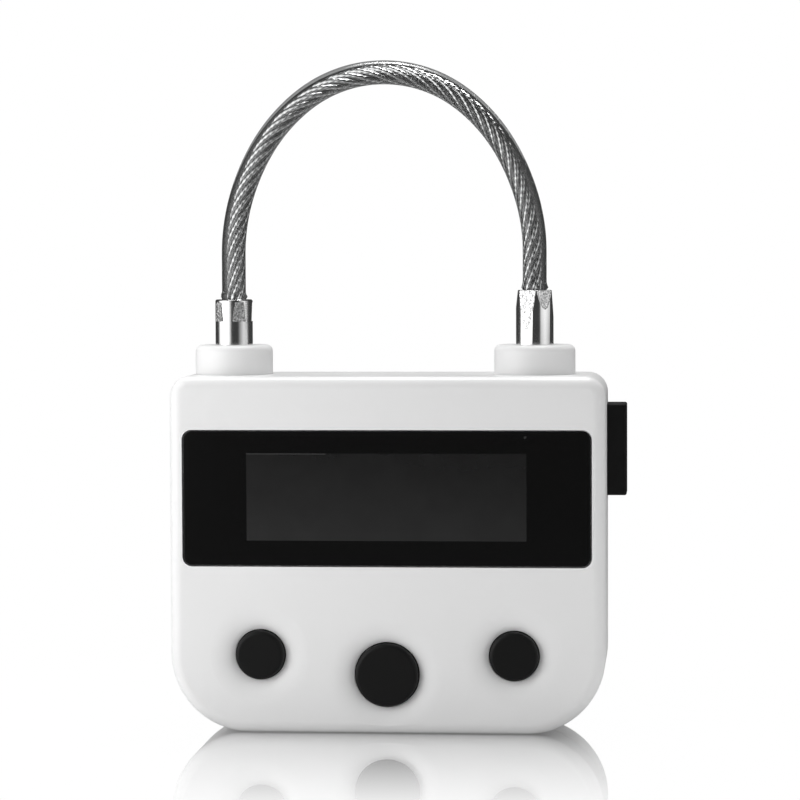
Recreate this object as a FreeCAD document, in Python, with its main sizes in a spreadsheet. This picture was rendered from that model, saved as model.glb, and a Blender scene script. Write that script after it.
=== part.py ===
"""Timed padlock with a cable shackle, as a parametric FreeCAD document in millimetres.

X runs to the right, Y to the back and Z up. The origin is the middle of the flat base,
in the plane where the two halves of the case meet.
"""

import FreeCAD, Part
import math
import os
import Sketcher

DIMENSIONS = {
    # The case, moulded in two halves that meet at the plane Y = 0.
    "body_width": 65.0,
    "body_height": 53.3,
    "front_depth": 10.0,
    "wall": 2.0,
    "top_corner": 3.0,
    "bottom_corner": 11.8,
    "edge_round": 1.8,
    "parting_chamfer": 0.2,
    # The glossy black window in its recess, and the display behind it.
    "window_margin": 2.15,
    "window_height": 20.05,
    "window_corner": 1.3,
    "window_thickness": 1.1,
    "window_sink": 0.15,
    "window_gap": 0.18,
    "display_depth": 18.15,
    "view_margin": 9.4,
    "view_height": 12.6,
    "glass_side": 2.2,
    "glass_above": 1.7,
    "glass_below": 3.8,
    "glass_thickness": 2.6,
    "aperture_side": 0.7,
    "backlight_thickness": 1.6,
    "backlight_inset": 0.5,
    "strip_height": 2.0,
    "strip_inset": 0.4,
    # Three round buttons, each in a dish, over a switch on the board.
    "button_spacing": 18.96,
    "side_button_level": 11.7,
    "side_button_diameter": 7.3,
    "middle_button_level": 8.8,
    "middle_button_diameter": 9.45,
    "button_proud": 0.3,
    "button_edge_round": 0.6,
    "button_gap": 0.16,
    "button_flange": 0.7,
    "flange_overlap": 0.85,
    "button_travel": 0.4,
    "dish_width": 3.6,
    "dish_lip_radius": 6.6,
    "switch_width": 6.0,
    "switch_height": 2.5,
    "plunger_radius": 1.6,
    "plunger_proud": 0.45,
    "plunger_gap": 0.1,
    "plunger_hidden": 0.8,
    # The circuit board and what is on it.
    "board_thickness": 1.6,
    "board_gap": 1.0,
    "board_bottom": 3.4,
    "board_tongue_half": 22.5,
    "board_tongue_top": 10.2,
    "board_screw_inset": 3.7,
    "board_screw_low": 19.5,
    "board_screw_high": 38.4,
    "board_boss_radius": 2.1,
    "chip_width": 9.0,
    "chip_thickness": 1.4,
    "chip_level": 22.0,
    # Screws are plain shanks with pan heads.
    "screw_radius": 1.0,
    "screw_head_radius": 1.8,
    "screw_head_height": 1.2,
    "screw_clearance": 0.06,
    "board_screw_length": 3.4,
    "pilot_spare": 0.2,
    "case_boss_radius": 2.1,
    "case_boss_gap": 0.1,
    "boss_root": 0.3,
    "corner_bite": 0.5,
    "case_screw_tip": 1.4,
    "counterbore_depth": 1.6,
    "counterbore_gap": 0.3,
    "heel_screw_offset": 9.6,
    # The two ends of the cable: collars, ferrules, the heel's pin and the toe's socket.
    "heel_inset": 8.6,
    "toe_inset": 10.8,
    "heel_collar_diameter": 11.7,
    "toe_collar_diameter": 12.2,
    "collar_height": 4.45,
    "collar_round": 1.0,
    "collar_neck_radius": 4.2,
    "collar_flange_radius": 5.3,
    "collar_flange_height": 1.4,
    "collar_gap": 0.05,
    "ferrule_radius": 2.82,
    "ferrule_bore_depth": 7.6,
    "ferrule_gap": 0.08,
    "heel_ferrule_rise": 11.3,
    "toe_ferrule_rise": 12.6,
    "crimp_length": 3.2,
    "crimp_flats": 5.1,
    "ferrule_tip_chamfer": 0.7,
    "heel_depth": 7.6,
    "heel_pin_radius": 0.75,
    "heel_pin_length": 12.0,
    "pin_boss_radius": 2.2,
    "pin_boss_gap": 0.3,
    "pin_gap": 0.04,
    "toe_depth": 9.3,
    "groove_radius": 1.7,
    "groove_height": 2.5,
    "sleeve_wall": 1.0,
    "sleeve_floor": 1.0,
    "sleeve_rib_half": 3.2,
    "sleeve_rib_height": 1.4,
    "sleeve_rib_stop": 2.2,
    # The cable: a steel rope in a clear sheath, in one upright arch.
    "sheath_radius": 1.8,
    "rope_radius": 1.45,
    "rope_gap": 0.05,
    "sheath_gap": 0.05,
    "loop_height": 45.4,
    "loop_top_radius": 20.0,
    "loop_shoulder_turn": 42.0,
    # The forked bolt that holds the toe, with its guide, pinion and gear motor.
    "latch_depth": 5.3,
    "bolt_thickness": 2.0,
    "bolt_half_width": 2.6,
    "bolt_length": 17.0,
    "bolt_clear": 0.3,
    "bolt_travel": 3.6,
    "bolt_gap": 0.1,
    "fork_gap": 0.15,
    "fork_depth": 4.3,
    "guide_wall": 1.5,
    "guide_length": 12.6,
    "guide_offset": 2.4,
    "guide_back": 1.3,
    "tooth_module": 0.4,
    "pinion_teeth": 12,
    "tooth_backlash": 0.1,
    "pressure_angle": 20.0,
    "rack_addendum_ratio": 0.6,
    "dedendum_ratio": 1.25,
    "pinion_offset": 9.5,
    "motor_radius": 3.0,
    "motor_length": 17.0,
    "motor_face_gap": 1.0,
    "motor_back_gap": 0.24,
    "gearbox_length": 7.0,
    "gearbox_seam": 0.25,
    "shaft_radius": 0.75,
    "shaft_hidden": 2.0,
    "shaft_gap": 0.03,
    "saddle_half": 4.2,
    "saddle_height": 2.0,
    "saddle_inset": 2.5,
    "saddle_gap": 0.05,
    # The charging port in the right-hand wall, its board and its rubber plug.
    "port_depth": 11.5,
    "port_from_back": 5.3,
    "plug_height": 13.85,
    "plug_width": 6.6,
    "plug_thickness": 2.95,
    "plug_corner": 0.4,
    "plug_round": 0.3,
    "plug_neck_height": 10.4,
    "plug_neck_width": 5.0,
    "plug_neck_gap": 0.1,
    "plug_tongue_height": 5.9,
    "plug_tongue_width": 1.5,
    "plug_tongue_length": 2.2,
    "port_shell_height": 7.0,
    "port_shell_width": 2.6,
    "port_shell_length": 5.0,
    "port_shell_wall": 0.35,
    "port_set_back": 0.1,
    "port_contacts_length": 1.4,
    "charge_board_thickness": 1.0,
    "charge_board_below": 7.6,
    "charge_board_side": 0.2,
    "charge_screw_rise": 2.2,
    "charge_boss_radius": 1.8,
    # The battery pouch on its foam tape.
    "battery_length": 40.0,
    "battery_height": 20.0,
    "battery_thickness": 4.6,
    "battery_round": 1.2,
    "battery_shift": -2.0,
    "battery_gap": 1.0,
    "tape_thickness": 0.5,
    "tape_inset": 2.0,
}

doc = FreeCAD.newDocument("timed_padlock")
sheet = doc.addObject("Spreadsheet::Sheet", "dims")
for row, (alias, value) in enumerate(DIMENSIONS.items(), start=1):
    sheet.set(f"A{row}", alias.replace("_", " "))
    sheet.set(f"B{row}", str(value))
    sheet.setAlias(f"B{row}", alias)
doc.recompute()


def size(name):
    """The value of one cell of the sheet."""
    return float(sheet.get(name))


def number(text):
    """The value of an expression on the sheet's cells."""
    found = sheet.evalExpression(str(text))
    return float(getattr(found, "Value", found))


# A cutting shape runs this far past the face that it opens, so it sets no size of its own.
OVERCUT = 1

# Places that several pieces share, as expressions on the sheet.
SIDE = "(dims.body_width / 2)"
INNER_SIDE = "(dims.body_width / 2 - dims.wall)"
FACE = "(-dims.front_depth)"
INNER_FACE = "(dims.wall - dims.front_depth)"
TOP = "dims.body_height"
INNER_TOP = "(dims.body_height - dims.wall)"
HEEL_X = "(dims.heel_inset - dims.body_width / 2)"
TOE_X = "(dims.body_width / 2 - dims.toe_inset)"
PITCH_RADIUS = "(dims.tooth_module * dims.pinion_teeth / 2)"
RACK_PITCH_Y = "(dims.bolt_half_width - dims.rack_addendum_ratio * dims.tooth_module)"
DRIVE_Y = f"({RACK_PITCH_Y} + {PITCH_RADIUS})"
INNER_BACK = f"({DRIVE_Y} + dims.motor_radius + dims.motor_back_gap)"
BACK = f"({INNER_BACK} + dims.wall)"
DISPLAY_Z = "(dims.body_height - dims.display_depth)"
VIEW_HALF = "(dims.body_width / 2 - dims.window_margin - dims.view_margin)"
RECESS_FLOOR = "(dims.window_sink + dims.window_thickness - dims.front_depth)"
GLASS_BACK = f"({INNER_FACE} + dims.glass_thickness)"
BOARD_FRONT = f"({GLASS_BACK} + dims.backlight_thickness)"
BOARD_BACK = f"({BOARD_FRONT} + dims.board_thickness)"
LATCH_Z = "(dims.body_height - dims.latch_depth)"
TOE_TIP = "(dims.body_height - dims.toe_depth)"
SLEEVE_BORE = "(dims.ferrule_radius + dims.ferrule_gap)"
SLEEVE_RADIUS = f"({SLEEVE_BORE} + dims.sleeve_wall)"
SLEEVE_BOTTOM = f"({TOE_TIP} - dims.sleeve_floor)"
COLLAR_BOTTOM = f"({INNER_TOP} - dims.collar_flange_height)"
BOARD_TOP = f"({SLEEVE_BOTTOM} - dims.board_gap)"
HEEL_TOP = "(dims.body_height + dims.heel_ferrule_rise)"
TOE_TOP = "(dims.body_height + dims.toe_ferrule_rise)"
FORK_TIP = f"({TOE_X} - dims.ferrule_radius - dims.bolt_clear)"
DRIVE_X = f"({FORK_TIP} - dims.pinion_offset)"
MOTOR_TOP = f"({LATCH_Z} - dims.bolt_thickness / 2 - dims.motor_face_gap)"
MOTOR_BOTTOM = f"({MOTOR_TOP} - dims.motor_length)"
PORT_Z = "(dims.body_height - dims.port_depth)"
PORT_Y = f"({BACK} - dims.port_from_back)"
CHARGE_BACK = f"({PORT_Y} - dims.port_shell_width / 2)"
CHARGE_FRONT = f"({CHARGE_BACK} - dims.charge_board_thickness)"
CHARGE_LEFT = f"({TOE_X} + {SLEEVE_RADIUS} + dims.bolt_clear)"
CHARGE_RIGHT = f"({INNER_SIDE} - dims.charge_board_side)"
CHARGE_BOTTOM = f"({PORT_Z} - dims.port_shell_height / 2 - dims.charge_board_below)"

BUTTONS = {
    "left": ("(-dims.button_spacing)", "dims.side_button_level", "dims.side_button_diameter"),
    "middle": ("0", "dims.middle_button_level", "dims.middle_button_diameter"),
    "right": ("dims.button_spacing", "dims.side_button_level", "dims.side_button_diameter"),
}

CORNER_REACH = "((dims.bottom_corner - dims.wall - dims.case_boss_radius + dims.corner_bite) * sqrt(0.5))"
CORNER_X = f"({SIDE} - dims.bottom_corner + {CORNER_REACH})"
CORNER_Z = f"(dims.bottom_corner - {CORNER_REACH})"
CASE_SCREW_TOP = f"({COLLAR_BOTTOM} - dims.case_boss_gap - dims.case_boss_radius)"
CASE_SCREWS = [
    (f"(-{CORNER_X})", CORNER_Z),
    (CORNER_X, CORNER_Z),
    (f"({HEEL_X} + dims.heel_screw_offset)", CASE_SCREW_TOP),
    (f"({TOE_X} + {SLEEVE_RADIUS} + dims.bolt_clear + dims.case_boss_radius)", CASE_SCREW_TOP),
]
BOARD_SCREW_X = f"({INNER_SIDE} - dims.board_screw_inset)"
BOARD_SCREWS = [
    (f"({side} * {BOARD_SCREW_X})", level)
    for side in (-1, 1)
    for level in ("dims.board_screw_low", "dims.board_screw_high")
]
CHARGE_SCREW = (f"(({CHARGE_LEFT} + {CHARGE_RIGHT}) / 2)", f"({CHARGE_BOTTOM} + dims.charge_screw_rise)")


def bind(thing, sizes):
    """Tie properties of an object to expressions on the sheet."""
    for name, text in sizes.items():
        thing.setExpression(name, str(text))
    return thing


TURNS = {
    "X": FreeCAD.Rotation(FreeCAD.Vector(0, 1, 0), 90),
    "Y": FreeCAD.Rotation(FreeCAD.Vector(1, 0, 0), -90),
    "Z": FreeCAD.Rotation(),
}


def placed(thing, x, y, z):
    bind(thing, {"Placement.Base.x": x, "Placement.Base.y": y, "Placement.Base.z": z})
    return thing


def block(name, x, y, z):
    """A box between two expressions along each axis."""
    box = doc.addObject("Part::Box", name)
    bind(box, {
        "Length": f"{x[1]} - {x[0]}",
        "Width": f"{y[1]} - {y[0]}",
        "Height": f"{z[1]} - {z[0]}",
    })
    return placed(box, x[0], y[0], z[0])


def rod(name, axis, at, radius, length):
    """A cylinder from a point along the positive X, Y or Z axis."""
    cylinder = doc.addObject("Part::Cylinder", name)
    bind(cylinder, {"Radius": radius, "Height": length})
    cylinder.Placement.Rotation = TURNS[axis]
    return placed(cylinder, *at)


def fuse(name, pieces):
    joined = doc.addObject("Part::MultiFuse", name)
    joined.Shapes = pieces
    return joined


def cut(name, base, tools):
    """What is left of the base after the tools are taken out of it."""
    taken = doc.addObject("Part::Cut", name)
    taken.Base = base
    taken.Tool = tools[0] if len(tools) == 1 else fuse(f"{name}_tools", tools)
    return taken


def new_body(name):
    return doc.addObject("PartDesign::Body", name)


def new_sketch(body, name, plane, offset="0"):
    """A sketch on one of the body's own origin planes, moved along that plane's normal."""
    sketch = body.newObject("Sketcher::SketchObject", name)
    role = f"{plane}_Plane"
    origin = next(f for f in body.Origin.OriginFeatures if f.Role == role)
    sketch.AttachmentSupport = [(origin, "")]
    sketch.MapMode = "FlatFace"
    sketch.setExpression("AttachmentOffset.Base.z", offset)
    return sketch


def hold(sketch, kind, geometry, point, text):
    """Bind a point's distance from the sketch's origin along one direction."""
    at = sketch.addConstraint(Sketcher.Constraint(kind, -1, 1, geometry, point, number(text)))
    sketch.setExpression(f"Constraints[{at}]", text)


def draw_polygon(sketch, corners):
    """A closed outline of straight lines with every corner bound to expressions."""
    points = [FreeCAD.Vector(number(x), number(y), 0) for x, y in corners]
    first = len(sketch.Geometry)
    count = len(points)
    for n in range(count):
        sketch.addGeometry(Part.LineSegment(points[n], points[(n + 1) % count]), False)
    for n in range(count):
        sketch.addConstraint(Sketcher.Constraint("Coincident", first + n, 2, first + (n + 1) % count, 1))
    for n, (x, y) in enumerate(corners):
        hold(sketch, "DistanceX", first + n, 1, x)
        hold(sketch, "DistanceY", first + n, 1, y)


def draw_circle(sketch, x, y, radius):
    centre = FreeCAD.Vector(number(x), number(y), 0)
    circle = sketch.addGeometry(Part.Circle(centre, FreeCAD.Vector(0, 0, 1), number(radius)), False)
    at = sketch.addConstraint(Sketcher.Constraint("Radius", circle, number(radius)))
    sketch.setExpression(f"Constraints[{at}]", radius)
    hold(sketch, "DistanceX", circle, 3, x)
    hold(sketch, "DistanceY", circle, 3, y)


def draw_rounded(sketch, left, right, bottom, top, low_corner, high_corner):
    """A rectangle whose lower and upper corners have a radius each."""
    x0, x1, y0, y1 = (number(text) for text in (left, right, bottom, top))
    low, high = number(low_corner), number(high_corner)
    lines = [
        ((x0 + low, y0), (x1 - low, y0)),
        ((x1, y0 + low), (x1, y1 - high)),
        ((x1 - high, y1), (x0 + high, y1)),
        ((x0, y1 - high), (x0, y0 + low)),
    ]
    arcs = [(x1 - low, y0 + low, low), (x1 - high, y1 - high, high)]
    arcs += [(x0 + high, y1 - high, high), (x0 + low, y0 + low, low)]
    first = len(sketch.Geometry)
    for start, end in lines:
        sketch.addGeometry(Part.LineSegment(FreeCAD.Vector(*start, 0), FreeCAD.Vector(*end, 0)), False)
    for n, (x, y, radius) in enumerate(arcs):
        circle = Part.Circle(FreeCAD.Vector(x, y, 0), FreeCAD.Vector(0, 0, 1), radius)
        begin = math.radians(90 * n - 90)
        sketch.addGeometry(Part.ArcOfCircle(circle, begin, begin + math.radians(90)), False)
    for n in range(4):
        sketch.addConstraint(Sketcher.Constraint("Tangent", first + n, 2, first + 4 + n, 1))
        sketch.addConstraint(Sketcher.Constraint("Tangent", first + 4 + n, 2, first + (n + 1) % 4, 1))
        level = "Horizontal" if n % 2 == 0 else "Vertical"
        sketch.addConstraint(Sketcher.Constraint(level, first + n))
    for n, text in enumerate((low_corner, high_corner, high_corner, low_corner)):
        at = sketch.addConstraint(Sketcher.Constraint("Radius", first + 4 + n, arcs[n][2]))
        sketch.setExpression(f"Constraints[{at}]", text)
    hold(sketch, "DistanceY", first, 1, bottom)
    hold(sketch, "DistanceX", first + 1, 1, right)
    hold(sketch, "DistanceY", first + 2, 1, top)
    hold(sketch, "DistanceX", first + 3, 1, left)


def pad(body, sketch, length, back=False):
    """Solid from a sketch; on an XZ plane the plain direction is to the front."""
    feature = body.newObject("PartDesign::Pad", f"{sketch.Name}_pad")
    feature.Profile = sketch
    feature.setExpression("Length", length)
    feature.Reversed = back
    sketch.Visibility = False
    return feature


def pocket(body, sketch, length, back=True):
    """Cut from a sketch; on an XZ plane the plain direction is to the back."""
    feature = body.newObject("PartDesign::Pocket", f"{sketch.Name}_pocket")
    feature.Profile = sketch
    feature.setExpression("Length", length)
    feature.Reversed = not back
    return feature


def edges_at(feature, axis, place, tolerance=1e-4):
    """Names of the edges that lie wholly in one plane across an axis."""
    doc.recompute()
    names = []
    for n, edge in enumerate(feature.Shape.Edges, start=1):
        box = edge.BoundBox
        low, high = {"X": (box.XMin, box.XMax), "Y": (box.YMin, box.YMax), "Z": (box.ZMin, box.ZMax)}[axis]
        if abs(low - place) < tolerance and abs(high - place) < tolerance:
            names.append(f"Edge{n}")
    return names


def soften(body, feature, kind, names, text):
    """A fillet or chamfer on named edges of a feature."""
    dressed = body.newObject(f"PartDesign::{kind}", f"{body.Name}_{kind.lower()}")
    dressed.Base = (feature, names)
    dressed.setExpression("Radius" if kind == "Fillet" else "Size", text)
    doc.recompute()
    return dressed


def turned(name, x, profile):
    """A body turned about an upright axis at x, from corners given as radius and height."""
    body = new_body(name)
    sketch = new_sketch(body, f"{name}_profile", "XZ")
    draw_polygon(sketch, profile)
    feature = body.newObject("PartDesign::Revolution", f"{name}_turned")
    feature.Profile = sketch
    feature.ReferenceAxis = (sketch, ["V_Axis"])
    feature.Angle = 360
    body.setExpression("Placement.Base.x", x)
    return body, feature


def case_half(name, back):
    """One moulded half: a filleted tray with a small chamfer where the halves meet."""
    depth = BACK if back else "dims.front_depth"
    body = new_body(f"{name}_moulding")
    outline = new_sketch(body, f"{name}_outline", "XZ")
    draw_rounded(outline, f"-{SIDE}", SIDE, "0", TOP, "dims.bottom_corner", "dims.top_corner")
    tray = pad(body, outline, depth, back)
    outer = number(depth) if back else -number(depth)
    tray = soften(body, tray, "Fillet", edges_at(tray, "Y", outer), "dims.edge_round")
    soften(body, tray, "Chamfer", edges_at(tray, "Y", 0), "dims.parting_chamfer")
    hollow = new_sketch(body, f"{name}_hollow", "XZ")
    corner = "dims.bottom_corner - dims.wall", "dims.top_corner - dims.wall"
    draw_rounded(hollow, f"-{INNER_SIDE}", INNER_SIDE, "dims.wall", INNER_TOP, *corner)
    pocket(body, hollow, f"{depth} - dims.wall", back)
    return body


def ahead(text):
    """The offset of an XZ sketch, whose plane moves to the front, for a place along Y."""
    return f"-({text})"


def collar_holes(name):
    """Where the necks of both collars pass through the top wall."""
    level = f"({INNER_TOP} - {OVERCUT})"
    radius = "dims.collar_neck_radius + dims.collar_gap"
    ends = (("heel", HEEL_X), ("toe", TOE_X))
    through = f"dims.wall + {2 * OVERCUT}"
    return [rod(f"{name}_{end}_hole", "Z", (x, "0", level), radius, through) for end, x in ends]


# A dish is the face rolling over into a button's hole: one arc that leaves the face level and
# is steepest at the hole.
DISH_ROOF = f"({FACE} - {OVERCUT})"


def dish_cutter(side, x, z, diameter):
    """The shape that cuts one dish, turned about the button's axis."""
    body = new_body(f"{side}_dish")
    sketch = new_sketch(body, f"{side}_dish_profile", "XZ")
    hole = f"({diameter} / 2)"
    rim = f"({diameter} / 2 + dims.button_gap + dims.dish_width)"
    lip, inner, reach = size("dish_lip_radius"), number(hole), number(rim)
    face, roof = number(FACE), number(DISH_ROOF)
    slope = math.asin((reach - inner) / lip)
    bottom = face + lip - lip * math.cos(slope)
    circle = Part.Circle(FreeCAD.Vector(reach, face + lip, 0), FreeCAD.Vector(0, 0, 1), lip)
    level = -math.pi / 2
    sketch.addGeometry(Part.ArcOfCircle(circle, level - slope, level), False)
    corners = [(reach, face), (reach, roof), (0, roof), (0, bottom), (inner, bottom)]
    for start, end in zip(corners, corners[1:]):
        sketch.addGeometry(Part.LineSegment(FreeCAD.Vector(*start, 0), FreeCAD.Vector(*end, 0)), False)
    for n in range(5):
        sketch.addConstraint(Sketcher.Constraint("Coincident", n, 2, (n + 1) % 5, 1))
    at = sketch.addConstraint(Sketcher.Constraint("Radius", 0, lip))
    sketch.setExpression(f"Constraints[{at}]", "dims.dish_lip_radius")
    sketch.addConstraint(Sketcher.Constraint("Horizontal", 4))
    for geometry, point, across in ((0, 3, rim), (0, 1, hole), (1, 1, rim), (2, 1, rim), (3, 1, "0"), (4, 1, "0")):
        hold(sketch, "DistanceX", geometry, point, across)
    for geometry, height in ((1, FACE), (2, DISH_ROOF), (3, DISH_ROOF)):
        hold(sketch, "DistanceY", geometry, 1, height)
    feature = body.newObject("PartDesign::Revolution", f"{side}_dish_turned")
    feature.Profile = sketch
    feature.ReferenceAxis = (sketch, ["V_Axis"])
    feature.Angle = 360
    body.Placement.Rotation = TURNS["Y"]
    return placed(body, x, "0", z)


# Front half: the face with its window recess, display aperture, button holes and dishes,
# and inside it the bosses for the circuit board, the case screws and the heel pin.
front = case_half("front_shell", back=False)
recess = new_sketch(front, "window_recess", "XZ", "dims.front_depth")
RECESS_HALF = f"({SIDE} - dims.window_margin + dims.window_gap)"
RECESS_RISE = "(dims.window_height / 2 + dims.window_gap)"
RECESS_CORNER = "dims.window_corner + dims.window_gap"
draw_rounded(recess, f"-{RECESS_HALF}", RECESS_HALF, f"{DISPLAY_Z} - {RECESS_RISE}",
             f"{DISPLAY_Z} + {RECESS_RISE}", RECESS_CORNER, RECESS_CORNER)
pocket(front, recess, "dims.window_sink + dims.window_thickness")
aperture = new_sketch(front, "display_aperture", "XZ", "dims.front_depth")
APERTURE_HALF = f"({VIEW_HALF} + dims.aperture_side)"
APERTURE_RISE = "(dims.view_height / 2 + dims.aperture_side)"
draw_polygon(aperture, [
    (f"-{APERTURE_HALF}", f"{DISPLAY_Z} - {APERTURE_RISE}"),
    (APERTURE_HALF, f"{DISPLAY_Z} - {APERTURE_RISE}"),
    (APERTURE_HALF, f"{DISPLAY_Z} + {APERTURE_RISE}"),
    (f"-{APERTURE_HALF}", f"{DISPLAY_Z} + {APERTURE_RISE}"),
])
pocket(front, aperture, f"dims.wall + {OVERCUT}")
holes = new_sketch(front, "button_holes", "XZ", "dims.front_depth")
for x, z, diameter in BUTTONS.values():
    draw_circle(holes, x, z, f"{diameter} / 2 + dims.button_gap")
pocket(front, holes, f"dims.wall + {OVERCUT}")

PIN_Z = f"({COLLAR_BOTTOM} - dims.case_boss_gap - dims.pin_boss_radius)"
RIB_Z = f"({SLEEVE_BOTTOM} + dims.sleeve_floor)"
RIB_X = (f"({TOE_X} - dims.sleeve_rib_half)", f"({TOE_X} + dims.sleeve_rib_half)")
RIB_SPAN = (RIB_Z, f"({RIB_Z} + dims.sleeve_rib_height)")
PIN_CLEAR = "(dims.ferrule_radius + dims.pin_boss_gap)"
front_root = f"({INNER_FACE} - dims.boss_root)"
front_pieces = [front]
for n, (x, z) in enumerate(BOARD_SCREWS):
    reach = f"{BOARD_FRONT} - {front_root}"
    front_pieces.append(rod(f"board_boss_{n}", "Y", (x, front_root, z), "dims.board_boss_radius", reach))
for n, (x, z) in enumerate(CASE_SCREWS):
    foot = (x, front_root, z)
    front_pieces.append(rod(f"front_boss_{n}", "Y", foot, "dims.case_boss_radius", f"-{front_root}"))
front_pieces.append(rod("front_pin_boss", "Y", (HEEL_X, front_root, PIN_Z), "dims.pin_boss_radius",
                        f"-{PIN_CLEAR} - {front_root}"))
front_rib = block("front_rib", RIB_X, (front_root, "-dims.sleeve_rib_stop"), RIB_SPAN)
SLEEVE_SEAT = (f"{SLEEVE_RADIUS} + dims.saddle_gap", f"dims.sleeve_rib_height + {2 * OVERCUT}")
front_seat = rod("front_rib_seat", "Z", (TOE_X, "0", f"({RIB_Z} - {OVERCUT})"), *SLEEVE_SEAT)
front_pieces.append(cut("front_sleeve_rib", front_rib, [front_seat]))
front_tools = collar_holes("front")
PILOT = "dims.screw_radius + dims.screw_clearance"
PILOT_LENGTH = f"(dims.board_screw_length + dims.pilot_spare + {OVERCUT})"
CASE_TIP = f"({INNER_FACE} + dims.case_screw_tip)"
for n, (x, z) in enumerate(BOARD_SCREWS):
    start = f"({BOARD_FRONT} - dims.board_screw_length - dims.pilot_spare)"
    front_tools.append(rod(f"board_pilot_{n}", "Y", (x, start, z), PILOT, PILOT_LENGTH))
for n, (x, z) in enumerate(CASE_SCREWS):
    start = f"({CASE_TIP} - dims.pilot_spare)"
    front_tools.append(rod(f"front_pilot_{n}", "Y", (x, start, z), PILOT, f"{OVERCUT} - {start}"))
PIN_HOLE = "dims.heel_pin_radius + dims.pin_gap"
PIN_END = "(dims.heel_pin_length / 2 + dims.pin_gap)"
front_tools.append(rod("front_pin_hole", "Y", (HEEL_X, f"-{PIN_END}", PIN_Z), PIN_HOLE, PIN_END))
front_tools += [dish_cutter(side, *sizes) for side, sizes in BUTTONS.items()]
front_shell = cut("front_shell", fuse("front_shell_solid", front_pieces), front_tools)

# Rear half: the case screws enter from here. It cradles the motor and the toe's sleeve,
# holds the battery and the charging board, and has the port's opening in its right wall.
back_root = f"({INNER_BACK} + dims.boss_root)"
rear_pieces = [case_half("rear_shell", back=True)]
for n, (x, z) in enumerate(CASE_SCREWS):
    rear_pieces.append(rod(f"rear_boss_{n}", "Y", (x, "0", z), "dims.case_boss_radius", back_root))
rear_pieces.append(rod("rear_pin_boss", "Y", (HEEL_X, PIN_CLEAR, PIN_Z), "dims.pin_boss_radius",
                       f"{back_root} - {PIN_CLEAR}"))
charge_boss = (CHARGE_SCREW[0], CHARGE_BACK, CHARGE_SCREW[1])
rear_pieces.append(rod("charge_boss", "Y", charge_boss, "dims.charge_boss_radius",
                       f"{back_root} - {CHARGE_BACK}"))
rear_rib = block("rear_rib", RIB_X, ("dims.sleeve_rib_stop", back_root), RIB_SPAN)
rear_seat = rod("rear_rib_seat", "Z", (TOE_X, "0", f"({RIB_Z} - {OVERCUT})"), *SLEEVE_SEAT)
rear_pieces.append(cut("rear_sleeve_rib", rear_rib, [rear_seat]))
SADDLE_X = (f"({DRIVE_X} - dims.saddle_half)", f"({DRIVE_X} + dims.saddle_half)")
saddles = []
for name, z in (
    ("lower", f"({MOTOR_BOTTOM} + dims.saddle_inset)"),
    ("upper", f"({MOTOR_TOP} - dims.saddle_inset - dims.saddle_height)"),
):
    span = (z, f"({z} + dims.saddle_height)")
    saddles.append(block(f"{name}_saddle", SADDLE_X, (DRIVE_Y, back_root), span))
motor_seat = rod("motor_seat", "Z", (DRIVE_X, DRIVE_Y, MOTOR_BOTTOM),
                 "dims.motor_radius + dims.saddle_gap", "dims.motor_length")
rear_pieces.append(cut("motor_saddles", fuse("saddle_blocks", saddles), [motor_seat]))
rear_tools = collar_holes("rear")
HEAD_SEAT = f"({BACK} - dims.counterbore_depth)"
for n, (x, z) in enumerate(CASE_SCREWS):
    rear_tools.append(rod(f"rear_hole_{n}", "Y", (x, f"-{OVERCUT}", z), PILOT, f"{BACK} + {2 * OVERCUT}"))
    rear_tools.append(rod(f"counterbore_{n}", "Y", (x, HEAD_SEAT, z),
                          "dims.screw_head_radius + dims.counterbore_gap",
                          f"dims.counterbore_depth + {OVERCUT}"))
rear_tools.append(rod("rear_pin_hole", "Y", (HEEL_X, "0", PIN_Z), PIN_HOLE, PIN_END))
rear_tools.append(rod("charge_pilot", "Y", (CHARGE_SCREW[0], f"({CHARGE_BACK} - {OVERCUT})", CHARGE_SCREW[1]),
                      PILOT, PILOT_LENGTH))
NECK_Y = "(dims.plug_neck_width / 2 + dims.plug_neck_gap)"
NECK_Z = "(dims.plug_neck_height / 2 + dims.plug_neck_gap)"
rear_tools.append(block("port_opening", (f"({INNER_SIDE} - dims.plug_neck_gap)", f"({SIDE} + {OVERCUT})"),
                        (f"({PORT_Y} - {NECK_Y})", f"({PORT_Y} + {NECK_Y})"),
                        (f"({PORT_Z} - {NECK_Z})", f"({PORT_Z} + {NECK_Z})")))
rear_shell = cut("rear_shell", fuse("rear_shell_solid", rear_pieces), rear_tools)

# The glossy window, bonded into its recess.
window = new_body("display_window")
window_outline = new_sketch(window, "window_outline", "XZ", ahead(RECESS_FLOOR))
WINDOW_HALF = f"({SIDE} - dims.window_margin)"
draw_rounded(window_outline, f"-{WINDOW_HALF}", WINDOW_HALF, f"{DISPLAY_Z} - dims.window_height / 2",
             f"{DISPLAY_Z} + dims.window_height / 2", "dims.window_corner", "dims.window_corner")
pad(window, window_outline, "dims.window_thickness")

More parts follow.
